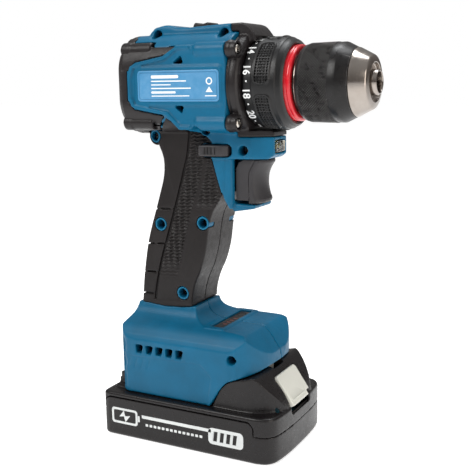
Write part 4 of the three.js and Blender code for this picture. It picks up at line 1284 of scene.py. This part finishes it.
def button_plate(grow=0.0, drop=0.0, corner=2.5):
    """The sloped push plate, about its own place on the front of the pack."""
    outline = rounded_rectangle((0, 0), (10 + grow, 13 + grow), corner, 6)
    bm = plate(outline, "Z", -1.5 - grow, 1.5 + grow)
    if not grow:
        bevel(bm, 0.8, 4, rim_edges(bm, "Z", 1))
    turn = Matrix.Rotation(BUTTON_TILT, 3, "Y")
    bmesh.ops.rotate(bm, verts=bm.verts, cent=(0, 0, 0), matrix=turn)
    bmesh.ops.translate(bm, verts=bm.verts, vec=(BUTTON_AT[0], 0, BUTTON_AT[1] - drop))
    return bm


def build_battery_upper():
    case = plate(pack_plan(), "Z", 0, 28)
    bevel(case, 1.6, 4, rim_edges(case, "Z", 1))
    case = common(case, block(-FAR, FAR, -FAR, FAR, 17, 60))
    step = cut(plate(pack_plan(-1), "Z", 24.9, 25.5), plate(pack_plan(0.5), "Z", 20, 40))
    body = add(case, hump(), rail_block())
    bay = plate([(24, 20), (27, 41.6), (41, 45.6), (54.4, 29), (55, 20)], "Y", -24, 24)
    slots = [block(-60, -14, y - 1.1, y + 1.1, 34.4, 60) for y in (-10, 10)]
    path = [button_plate(0.4, drop) for drop in (0, 1.5, 3, 4.4)]
    inside = plate(pack_plan(2.4), "Z", 0, 25.8)
    body = cut(body, inside, bay, *slots, *path, block(26, 44, -7, 7, 30, 60), step)
    body = cut(body, *side_label(0.15, 2.2))
    body = largest(soften(body, 0.55, 2, 0.6))
    place("battery_hump_moulding", body, "battery", "pack_black", ["battery_upper_case"])


def build_battery_button():
    arm = plate([(30, 33), (54.4, 33), (52, 37.5), (38, 42), (38, 47.4), (33, 48.6), (30, 48.6)], "Y", -6, 6)
    face = button_plate()
    notch = plate(rounded_rectangle((0, 0), (2.4, 3.0), 0.8, 4), "Z", -4, 4)
    bmesh.ops.translate(notch, verts=notch.verts, vec=(9.4, 11.6, 0))
    ridge = plate(rounded_rectangle((7.2, -2), (0.5, 8.5), 0.45, 4), "Z", 1.2, 1.9)
    bevel(ridge, 0.25, 2, rim_edges(ridge, "Z", 1))
    for bm in (notch, ridge):
        bmesh.ops.rotate(bm, verts=bm.verts, cent=(0, 0, 0), matrix=Matrix.Rotation(BUTTON_TILT, 3, "Y"))
        bmesh.ops.translate(bm, verts=bm.verts, vec=(BUTTON_AT[0], 0, BUTTON_AT[1]))
    body = cut(add(face, arm, ridge), notch)
    place("battery_button_moulding", body, "battery_button", "button_white",
          ["battery_release_button"])


def build_battery_print():
    """White marks on both sides of the pack: a charge symbol, a stripe and a badge of bars."""
    marks = []
    surface = 37.98
    for sign in (-1, 1):
        low, high = sorted((sign * (surface - 0.1), sign * (surface + 0.08)))

        def flat(shape):
            return plate(shape, "Y", low, high)

        case = cut(
            flat(rounded_rectangle((-42.6, 13.6), (9.4, 5.0), 1.8, 6)),
            plate(rounded_rectangle((-42.6, 13.6), (8.0, 3.6), 1.0, 6), "Y", -FAR, FAR),
        )
        marks.append(case)
        marks.append(flat(rounded_rectangle((-32.3, 13.6), (0.7, 2.0), 0.5, 4)))
        bolt = [(-43.2, 17.2), (-46.6, 12.9), (-43.2, 13.5), (-42.2, 9.9), (-38.6, 14.4), (-42.2, 13.7)]
        marks.append(flat(bolt))
        marks.append(flat([(-30, 16.6), (18, 16.6), (18, 14.6), (-30, 14.6)]))
        for i in range(14):
            x = -26.5 + i * 2.9
            marks.append(flat(rounded_rectangle((x, 10.7), (0.95, 0.8), 0.3, 3)))
        badge = flat(rounded_rectangle((27.6, 12.6), (11.4, 5.0), 2.6, 8))
        bars = [
            plate([(x, 9.6), (x + 2.4, 9.6), (x + 3.1, 15.6), (x + 0.7, 15.6)], "Y", -FAR, FAR)
            for x in (19.4, 23.6, 27.8, 32)
        ]
        marks.append(cut(badge, *bars))
    place("battery_side_print", joined(*marks), "battery", "print_silver")


# ---------------------------------------------------------------- finishes


def new_group(name, inputs, outputs):
    group = bpy.data.node_groups.new(name, "ShaderNodeTree")
    for label, kind, value in inputs:
        socket = group.interface.new_socket(name=label, in_out="INPUT", socket_type=kind)
        socket.default_value = value
    for label, kind in outputs:
        group.interface.new_socket(name=label, in_out="OUTPUT", socket_type=kind)
    return group


def node(tree, kind, **settings):
    made = tree.nodes.new(kind)
    for key, value in settings.items():
        if key.startswith("in_"):
            made.inputs[key[3:].replace("_", " ")].default_value = value
        else:
            setattr(made, key, value)
    return made


def remap(tree, source, low, high, to_low, to_high):
    made = tree.nodes.new("ShaderNodeMapRange")
    tree.links.new(source, made.inputs["Value"])
    made.inputs["From Min"].default_value = low
    made.inputs["From Max"].default_value = high
    for label, value in (("To Min", to_low), ("To Max", to_high)):
        if isinstance(value, (int, float)):
            made.inputs[label].default_value = value
        else:
            tree.links.new(value, made.inputs[label])
    return made.outputs["Result"]


def mixed(tree, factor, first, second, blend="MIX"):
    made = tree.nodes.new("ShaderNodeMix")
    made.data_type = "RGBA"
    made.blend_type = blend
    tree.links.new(factor, made.inputs["Factor"])
    for label, value in (("A", first), ("B", second)):
        socket = [s for s in made.inputs if s.name == label and s.type == "RGBA"][0]
        if isinstance(value, tuple):
            socket.default_value = value
        else:
            tree.links.new(value, socket)
    return [s for s in made.outputs if s.type == "RGBA"][0]


def arithmetic(tree, operation, first, second):
    made = tree.nodes.new("ShaderNodeMath")
    made.operation = operation
    for socket, value in zip(made.inputs, (first, second)):
        if isinstance(value, (int, float)):
            socket.default_value = value
        else:
            tree.links.new(value, socket)
    return made.outputs[0]


def moulded_group():
    """Moulded surface: spark-eroded grain, faint cloudiness, lighter ridges that are partly rubbed wear and
    partly a painted highlight, and painted shade darkening the hollows.
    """
    tree = new_group(
        "moulded surface",
        [
            ("Tint", "NodeSocketColor", (0.5, 0.5, 0.5, 1)),
            ("Rubbed and highlight tint", "NodeSocketColor", (0.6, 0.6, 0.6, 1)),
            ("Grain per metre", "NodeSocketFloat", 2200),
            ("Cloudiness", "NodeSocketFloat", 0.15),
            ("Rubbing and highlight", "NodeSocketFloat", 0.4),
            ("Roughness", "NodeSocketFloat", 0.45),
            ("Roughness spread", "NodeSocketFloat", 0.12),
        ],
        [("Color", "NodeSocketColor"), ("Roughness", "NodeSocketFloat"), ("Height", "NodeSocketFloat")],
    )
    given = tree.nodes.new("NodeGroupInput")
    result = tree.nodes.new("NodeGroupOutput")
    where = tree.nodes.new("ShaderNodeTexCoord")
    grain = node(tree, "ShaderNodeTexNoise", in_Detail=3.0, in_Roughness=0.6)
    clouds = node(tree, "ShaderNodeTexNoise", in_Scale=42.0, in_Detail=5.0, in_Roughness=0.62)
    marks = node(tree, "ShaderNodeTexNoise", in_Scale=310.0, in_Detail=4.0, in_Roughness=0.7)
    tree.links.new(given.outputs["Grain per metre"], grain.inputs["Scale"])
    for made in (grain, clouds, marks):
        tree.links.new(where.outputs["Object"], made.inputs["Vector"])
    shade = arithmetic(tree, "MULTIPLY", given.outputs["Cloudiness"],
                       remap(tree, clouds.outputs["Fac"], 0.3, 0.7, 0.0, 1.0))
    darker = mixed(tree, shade, given.outputs["Tint"], (0.0, 0.0, 0.0, 1))
    shape = tree.nodes.new("ShaderNodeNewGeometry")
    # Pointy ridges get the lighter rubbed tint: partly rubbed wear, partly a painted highlight standing in
    # for the shine on ridge tops.
    ridge = remap(tree, shape.outputs["Pointiness"], 0.53, 0.62, 0.0, 1.0)
    patchy = remap(tree, marks.outputs["Fac"], 0.38, 0.62, 0.25, 1.0)
    wear_and_highlight_mask = arithmetic(tree, "MULTIPLY", ridge, patchy)
    wear_and_highlight = arithmetic(tree, "MULTIPLY", wear_and_highlight_mask, given.outputs["Rubbing and highlight"])
    # Painted shade: hollows and creases are darkened towards black, standing in for the shade that falls in
    # them.
    hollow = remap(tree, shape.outputs["Pointiness"], 0.40, 0.49, 0.75, 0.0)
    darker = mixed(tree, hollow, darker, (0.0, 0.0, 0.0, 1))
    color = mixed(tree, wear_and_highlight, darker, given.outputs["Rubbed and highlight tint"])
    spread = arithmetic(
        tree, "MULTIPLY", given.outputs["Roughness spread"],
        remap(tree, marks.outputs["Fac"], 0.3, 0.7, -1.0, 1.0),
    )
    rough = arithmetic(tree, "ADD", given.outputs["Roughness"], spread)
    tree.links.new(color, result.inputs["Color"])
    tree.links.new(rough, result.inputs["Roughness"])
    tree.links.new(grain.outputs["Fac"], result.inputs["Height"])
    return tree


def turned_group():
    """Turned or ground metal: fine lines round the spindle line, tarnish and rubbed edges."""
    tree = new_group(
        "turned metal",
        [
            ("Tint", "NodeSocketColor", (0.5, 0.5, 0.5, 1)),
            ("Tarnish tint", "NodeSocketColor", (0.4, 0.35, 0.3, 1)),
            ("Lines per metre", "NodeSocketFloat", 3500),
            ("Tarnish", "NodeSocketFloat", 0.3),
            ("Roughness", "NodeSocketFloat", 0.3),
            ("Roughness spread", "NodeSocketFloat", 0.1),
        ],
        [("Color", "NodeSocketColor"), ("Roughness", "NodeSocketFloat"), ("Height", "NodeSocketFloat")],
    )
    given = tree.nodes.new("NodeGroupInput")
    result = tree.nodes.new("NodeGroupOutput")
    where = tree.nodes.new("ShaderNodeTexCoord")
    stretch = tree.nodes.new("ShaderNodeVectorMath")
    stretch.operation = "MULTIPLY"
    stretch.inputs[1].default_value = (1.0, 0.02, 0.02)
    tree.links.new(where.outputs["Object"], stretch.inputs[0])
    lines = node(tree, "ShaderNodeTexNoise", in_Detail=2.0, in_Roughness=0.5)
    tree.links.new(given.outputs["Lines per metre"], lines.inputs["Scale"])
    tree.links.new(stretch.outputs["Vector"], lines.inputs["Vector"])
    stains = node(tree, "ShaderNodeTexNoise", in_Scale=130.0, in_Detail=6.0, in_Roughness=0.65)
    tree.links.new(where.outputs["Object"], stains.inputs["Vector"])
    amount = arithmetic(tree, "MULTIPLY", given.outputs["Tarnish"],
                        remap(tree, stains.outputs["Fac"], 0.35, 0.7, 0.0, 1.0))
    color = mixed(tree, amount, given.outputs["Tint"], given.outputs["Tarnish tint"])
    spread = arithmetic(
        tree, "MULTIPLY", given.outputs["Roughness spread"],
        remap(tree, lines.outputs["Fac"], 0.3, 0.7, -1.0, 1.0),
    )
    rough = arithmetic(tree, "ADD", given.outputs["Roughness"], spread)
    tree.links.new(color, result.inputs["Color"])
    tree.links.new(rough, result.inputs["Roughness"])
    tree.links.new(lines.outputs["Fac"], result.inputs["Height"])
    return tree


def finish_material(name, group, values, bump, shader_values):
    """A material of one shared surface group, a bump and its own shader."""
    made = bpy.data.materials.new(name)
    made.use_nodes = True
    tree = made.node_tree
    shader = tree.nodes["Principled BSDF"]
    surface = tree.nodes.new("ShaderNodeGroup")
    surface.node_tree = group
    for label, value in values.items():
        surface.inputs[label].default_value = value
    raised = tree.nodes.new("ShaderNodeBump")
    raised.inputs["Distance"].default_value = bump
    raised.inputs["Strength"].default_value = 1.0
    tree.links.new(surface.outputs["Color"], shader.inputs["Base Color"])
    tree.links.new(surface.outputs["Roughness"], shader.inputs["Roughness"])
    tree.links.new(surface.outputs["Height"], raised.inputs["Height"])
    tree.links.new(raised.outputs["Normal"], shader.inputs["Normal"])
    for label, value in shader_values.items():
        shader.inputs[label].default_value = value
    return made


def solid_colour(value):
    return (*tuple(value)[:3], 1.0)


def build_finishes():
    colours = bpy.context.scene.drill_colours
    moulded, turned = moulded_group(), turned_group()
    plain = [
        # name, tint, rubbed tint (partly wear, partly painted highlight on ridges), grain, cloudiness,
        # rubbing (amount of wear and painted highlight), roughness, spread, bump, shader
        ("housing_blue", colours.housing, (0.03, 0.30, 0.48), 2600, 0.25, 0.5, 0.40, 0.08, 4e-5,
         {"Specular IOR Level": 0.22}),
        ("black_moulding", colours.moulding, (0.05, 0.043, 0.042), 2400, 0.3, 0.5, 0.38, 0.1, 5e-5,
         {"Specular IOR Level": 0.3}),
        # The grip's rib tops take the lighter tint: partly wear, partly a painted highlight on the ribs.
        ("soft_overmould", colours.rubber, (0.09, 0.082, 0.08), 3000, 0.3, 0.5, 0.42, 0.1, 5e-5,
         {"Specular IOR Level": 0.22}),
        ("plate_blue", colours.label, (0.5, 0.72, 0.9), 4000, 0.12, 0.3, 0.36, 0.08, 1e-5, {}),
        ("print_white", (0.86, 0.88, 0.88), (0.6, 0.6, 0.6), 5000, 0.1, 0.2, 0.5, 0.1, 1e-5, {}),
        ("print_silver", (0.66, 0.69, 0.69), (0.8, 0.8, 0.8), 5000, 0.15, 0.2, 0.42, 0.1, 1e-5, {}),
        ("gloss_red", colours.accent, (0.9, 0.25, 0.2), 1800, 0.18, 0.3, 0.24, 0.06, 2e-5,
         {"Coat Weight": 0.15, "Coat Roughness": 0.12}),
        ("collar_black", (0.010, 0.0102, 0.011), (0.13, 0.13, 0.13), 3200, 0.25, 0.6, 0.36, 0.08, 3e-5,
         {"Specular IOR Level": 0.3}),
        # The knurl's tips take the full lighter tint: partly worn spots, partly a painted highlight on each
        # tip.
        ("sleeve_black", (0.007, 0.0065, 0.0068), (0.34, 0.33, 0.33), 3200, 0.25, 1.0, 0.32, 0.1, 3e-5,
         {"Specular IOR Level": 0.3}),
        ("trigger_grey", (0.036, 0.034, 0.037), (0.12, 0.11, 0.11), 1900, 0.3, 0.3, 0.44, 0.08, 8e-5,
         {"Specular IOR Level": 0.3}),
        ("pack_black", (0.009, 0.0075, 0.008), (0.06, 0.05, 0.05), 2400, 0.25, 0.45, 0.3, 0.08, 3e-5,
         {"Specular IOR Level": 0.3}),
        ("button_white", colours.button, (0.55, 0.53, 0.48), 2600, 0.08, 0.15, 0.38, 0.07, 3e-5, {}),
        ("lamp_yellow", (0.85, 0.72, 0.22), (0.9, 0.9, 0.7), 2000, 0.2, 0.2, 0.3, 0.05, 2e-5, {}),
        ("indicator_lens", (0.16, 0.035, 0.03), (0.3, 0.1, 0.1), 2000, 0.2, 0.2, 0.18, 0.05, 1e-5, {}),
        ("board_lacquer", (0.012, 0.10, 0.035), (0.05, 0.25, 0.1), 1500, 0.3, 0.3, 0.35, 0.1, 3e-5, {}),
        ("cell_film", (0.05, 0.21, 0.30), (0.2, 0.4, 0.5), 900, 0.2, 0.3, 0.28, 0.08, 5e-5, {}),
        ("module_black", (0.024, 0.023, 0.024), (0.1, 0.1, 0.1), 1700, 0.3, 0.4, 0.5, 0.1, 8e-5, {}),
    ]
    for name, tint, wear_and_highlight, grain, cloud, rubbing, rough, spread, bump, shader in plain:
        values = {
            "Tint": solid_colour(tint), "Rubbed and highlight tint": solid_colour(wear_and_highlight), "Grain per metre": grain,
            "Cloudiness": cloud, "Rubbing and highlight": rubbing, "Roughness": rough, "Roughness spread": spread,
        }
        finish_material(name, moulded, values, bump, shader)
    metals = [
        # name, tint, tarnish tint, lines, tarnish, roughness, spread, bump
        ("nickel", (0.36, 0.325, 0.295), (0.20, 0.165, 0.14), 2600, 0.35, 0.2, 0.06, 6e-6),
        ("tool_steel", (0.26, 0.25, 0.24), (0.14, 0.12, 0.11), 3800, 0.3, 0.34, 0.1, 1.2e-5),
        ("bright_screw", (0.58, 0.55, 0.50), (0.3, 0.25, 0.2), 5200, 0.4, 0.28, 0.08, 1e-5),
        ("black_screw", (0.07, 0.07, 0.072), (0.03, 0.028, 0.026), 5200, 0.4, 0.4, 0.1, 1e-5),
        ("hardened_steel", (0.42, 0.41, 0.40), (0.2, 0.16, 0.12), 4200, 0.5, 0.3, 0.1, 1.4e-5),
        ("copper_winding", (0.62, 0.29, 0.12), (0.3, 0.14, 0.06), 2400, 0.4, 0.35, 0.1, 9e-5),
        ("spring_steel", (0.46, 0.45, 0.44), (0.24, 0.22, 0.2), 3000, 0.3, 0.28, 0.08, 1e-5),
    ]
    for name, tint, tarnished, lines, tarnish, rough, spread, bump in metals:
        values = {
            "Tint": solid_colour(tint), "Tarnish tint": solid_colour(tarnished),
            "Lines per metre": lines, "Tarnish": tarnish, "Roughness": rough, "Roughness spread": spread,
        }
        finish_material(name, turned, values, bump, {"Metallic": 1.0})
    values = {
        "Tint": (0.93, 0.95, 0.9, 1), "Rubbed and highlight tint": (1, 1, 1, 1), "Grain per metre": 900,
        "Cloudiness": 0.05, "Rubbing and highlight": 0.1, "Roughness": 0.06, "Roughness spread": 0.03,
    }
    finish_material("clear_lens", moulded, values, 1e-5, {"Transmission Weight": 1.0, "IOR": 1.49})


INNER_FINISHES = {
    "hardened_steel": ["output_spindle", "first_carrier", "ring_gear", "rotor", "chuck_nut", "rear_bearing"],
    "copper_winding": ["stator"],
    "spring_steel": ["clutch_spring", "battery_button_spring"],
    "module_black": ["fan", "switch_module", "terminal_block"],
    "board_lacquer": ["controller_board"],
    "cell_film": ["battery_cell_pack"],
}


def finish_inner_parts():
    planets = [f"{stage}_planet_{i}" for stage in ("first", "second") for i in (1, 2, 3)]
    for material, names in INNER_FINISHES.items():
        for name in names + (planets if material == "hardened_steel" else []):
            data = frame["nodes"][name].data
            data.materials.clear()
            data.materials.append(bpy.data.materials[material])


# ---------------------------------------------------------------- stage

CAMERA_TARGET = (16.2, 0, 122.9)
CAMERA_DISTANCE = 495.17
CAMERA_AZIMUTH = 27.58
CAMERA_ELEVATION = 10.75
CAMERA_ROLL = -0.87
CAMERA_LENS = 62.64


def build_camera():
    az, el, roll = (math.radians(v) for v in (CAMERA_AZIMUTH, CAMERA_ELEVATION, CAMERA_ROLL))
    back = Vector((math.sin(az) * math.cos(el), -math.cos(az) * math.cos(el), math.sin(el)))
    right = Vector((math.cos(az), math.sin(az), 0))
    up = back.cross(right)
    right, up = right * math.cos(roll) + up * math.sin(roll), up * math.cos(roll) - right * math.sin(roll)
    data = bpy.data.cameras.new("camera")
    data.lens = CAMERA_LENS
    data.sensor_width = 36
    data.clip_start, data.clip_end = 0.01, 50
    camera = bpy.data.objects.new("camera", data)
    bpy.context.scene.collection.objects.link(camera)
    turn = Matrix((right, up, back)).transposed().to_4x4()
    camera.matrix_world = Matrix.Translation((Vector(CAMERA_TARGET) + back * CAMERA_DISTANCE) * MM) @ turn
    bpy.context.scene.camera = camera


def area_light(name, place_mm, size, power, colour):
    data = bpy.data.lights.new(name, "AREA")
    data.shape = "RECTANGLE"
    data.size, data.size_y = size
    data.energy = power
    data.color = colour
    lamp = bpy.data.objects.new(name, data)
    bpy.context.scene.collection.objects.link(lamp)
    away = (Vector(place_mm) - Vector((10, 0, 130))) * MM
    lamp.location = Vector(place_mm) * MM
    lamp.rotation_mode = "QUATERNION"
    lamp.rotation_quaternion = away.to_track_quat("Z", "Y")


def build_stage():
    studio = bpy.context.scene.drill_studio
    bm = bmesh.new()
    bmesh.ops.create_grid(bm, x_segments=1, y_segments=1, size=6)
    mesh = bpy.data.meshes.new("floor")
    bm.to_mesh(mesh)
    bm.free()
    floor = bpy.data.objects.new("floor", mesh)
    bpy.context.scene.collection.objects.link(floor)
    material = bpy.data.materials.new("floor_paper")
    material.use_nodes = True
    shader = material.node_tree.nodes["Principled BSDF"]
    shader.inputs["Base Color"].default_value = (0.85, 0.85, 0.85, 1)
    shader.inputs["Emission Color"].default_value = (1, 1, 1, 1)
    shader.inputs["Emission Strength"].default_value = studio.floor
    shader.inputs["Roughness"].default_value = 0.9
    mesh.materials.append(material)
    world = bpy.data.worlds.new("studio")
    world.use_nodes = True
    tree = world.node_tree
    sky = tree.nodes["Background"]
    towards = tree.nodes.new("ShaderNodeTexCoord")
    split = tree.nodes.new("ShaderNodeSeparateXYZ")
    tree.links.new(towards.outputs["Generated"], split.inputs["Vector"])
    height = remap(tree, split.outputs["Z"], -0.1, 0.8, 0.0, 1.0)
    tree.links.new(mixed(tree, height, (0.16, 0.12, 0.10, 1), (1, 1, 1, 1)), sky.inputs["Color"])
    sky.inputs["Strength"].default_value = studio.surround
    paper = tree.nodes.new("ShaderNodeBackground")
    paper.inputs["Color"].default_value = (1, 1, 1, 1)
    rays = tree.nodes.new("ShaderNodeLightPath")
    both = tree.nodes.new("ShaderNodeMixShader")
    tree.links.new(rays.outputs["Is Camera Ray"], both.inputs["Fac"])
    tree.links.new(sky.outputs["Background"], both.inputs[1])
    tree.links.new(paper.outputs["Background"], both.inputs[2])
    tree.links.new(both.outputs["Shader"], tree.nodes["World Output"].inputs["Surface"])
    bpy.context.scene.world = world
    area_light("key", (-300, -650, 780), (0.5, 0.5), studio.key, (1, 0.99, 0.97))
    area_light("side", (760, -250, 330), (0.35, 0.6), studio.side, (1, 0.93, 0.86))
    area_light("top", (60, 250, 900), (0.6, 0.3), studio.top, (0.96, 0.98, 1))
    bpy.context.scene.view_settings.view_transform = "Standard"
    build_camera()


# ---------------------------------------------------------------- add-on


def colour_property(name, description, value):
    return FloatVectorProperty(
        name=name, description=description, default=value, size=3, min=0, max=1, subtype="COLOR"
    )


class DrillColours(bpy.types.PropertyGroup):
    """Colours of the drill's visible mouldings."""

    housing: colour_property("Housing", "Clamshell housing", (0.0015, 0.112, 0.222))
    moulding: colour_property("Mouldings", "Rear cover and gearbox case", (0.013, 0.0105, 0.011))
    rubber: colour_property("Grip", "Soft overmould", (0.012, 0.0095, 0.0095))
    label: colour_property("Rating plates", "Plates on the flanks", (0.05, 0.235, 0.45))
    accent: colour_property("Accent ring", "Ring behind the chuck", (0.62, 0.003, 0.015))
    button: colour_property("Release button", "Battery release button", (0.62, 0.62, 0.56))


class DrillStudio(bpy.types.PropertyGroup):
    """Strengths of the studio's lights."""

    key: FloatProperty(
        name="Key", description="Large light above the front left", default=6.5, min=0, unit="POWER"
    )
    side: FloatProperty(
        name="Side", description="Upright light beside the chuck", default=2.0, min=0, unit="POWER"
    )
    top: FloatProperty(name="Top", description="Light above and behind", default=4, min=0, unit="POWER")
    surround: FloatProperty(name="Surround", description="Strength of the pale surround", default=0.5, min=0)
    floor: FloatProperty(name="Floor glow", description="Glow of the lit paper floor", default=0.66, min=0)


def operator(identity, label, description, *builders):
    """An operator class that runs the given builders."""

    def execute(self, context):
        for builder in builders:
            builder()
        return {"FINISHED"}

    return type(
        "DRILL_OT_" + identity,
        (bpy.types.Operator,),
        {
            "__doc__": description,
            "bl_idname": "drill." + identity,
            "bl_label": label,
            "bl_options": {"REGISTER"},
            "execute": execute,
        },
    )


OPERATORS = [
    operator("finishes", "Finishes", "Makes the shared surface groups and every material", build_finishes),
    operator("housing", "Housing", "Builds both halves of the clamshell housing", build_housing),
    operator("grip", "Grip", "Builds both halves of the ribbed soft grip", build_grip),
    operator("rear_cover", "Rear cover", "Builds the domed cover behind the motor", build_rear_cover),
    operator("rating_plates", "Rating plates", "Builds the plates on both flanks", build_label_plates),
    operator("gearbox_case", "Gearbox case", "Builds the case in front of the housing", build_gearbox_case),
    operator("screws", "Screws", "Builds the front, rear and clamshell screws", build_screws),
    operator(
        "torque_collar", "Torque collar", "Builds the collar, its pads and its scale", build_torque_collar
    ),
    operator("accent_ring", "Accent ring", "Builds the ring behind the chuck", build_accent_ring),
    operator("chuck", "Chuck", "Builds the chuck's body and sleeve", build_chuck_body, build_chuck_sleeve),
    operator("jaws", "Jaws", "Builds the three jaws", build_jaws),
    operator("controls", "Controls", "Builds the gear selector, trigger and direction lever",
             build_selector, build_trigger, build_lever),
    operator("lamp", "Work light", "Builds the work light and the charge display",
             build_work_light, build_indicator),
    operator("battery", "Battery pack", "Builds the pack's cases, button and printed marks",
             build_battery_lower, build_battery_upper, build_battery_button, build_battery_print),
    operator("inner_parts", "Inner parts", "Gives the inner parts their finishes", finish_inner_parts),
    operator("stage", "Stage", "Builds the floor, the lights and the camera", build_stage),
]


class DRILL_PT_panel(bpy.types.Panel):
    """Lists the drill's settings and the steps that build it"""

    bl_idname = "DRILL_PT_panel"
    bl_label = "Cordless Drill"
    bl_space_type = "VIEW_3D"
    bl_region_type = "UI"
    bl_category = "Drill"

    def draw(self, context):
        for group, names in (
            (context.scene.drill_colours, DrillColours.__annotations__),
            (context.scene.drill_studio, DrillStudio.__annotations__),
        ):
            box = self.layout.box()
            for name in names:
                box.prop(group, name)
        for made in OPERATORS:
            self.layout.operator(made.bl_idname)


CLASSES = [DrillColours, DrillStudio, *OPERATORS, DRILL_PT_panel]


def register():
    for made in CLASSES:
        bpy.utils.register_class(made)
    bpy.types.Scene.drill_colours = PointerProperty(type=DrillColours)
    bpy.types.Scene.drill_studio = PointerProperty(type=DrillStudio)


def unregister():
    del bpy.types.Scene.drill_studio
    del bpy.types.Scene.drill_colours
    for made in reversed(CLASSES):
        bpy.utils.unregister_class(made)


def main():
    register()
    for made in OPERATORS:
        getattr(bpy.ops.drill, made.bl_idname.split(".")[1])()


if __name__ == "__main__":
    main()
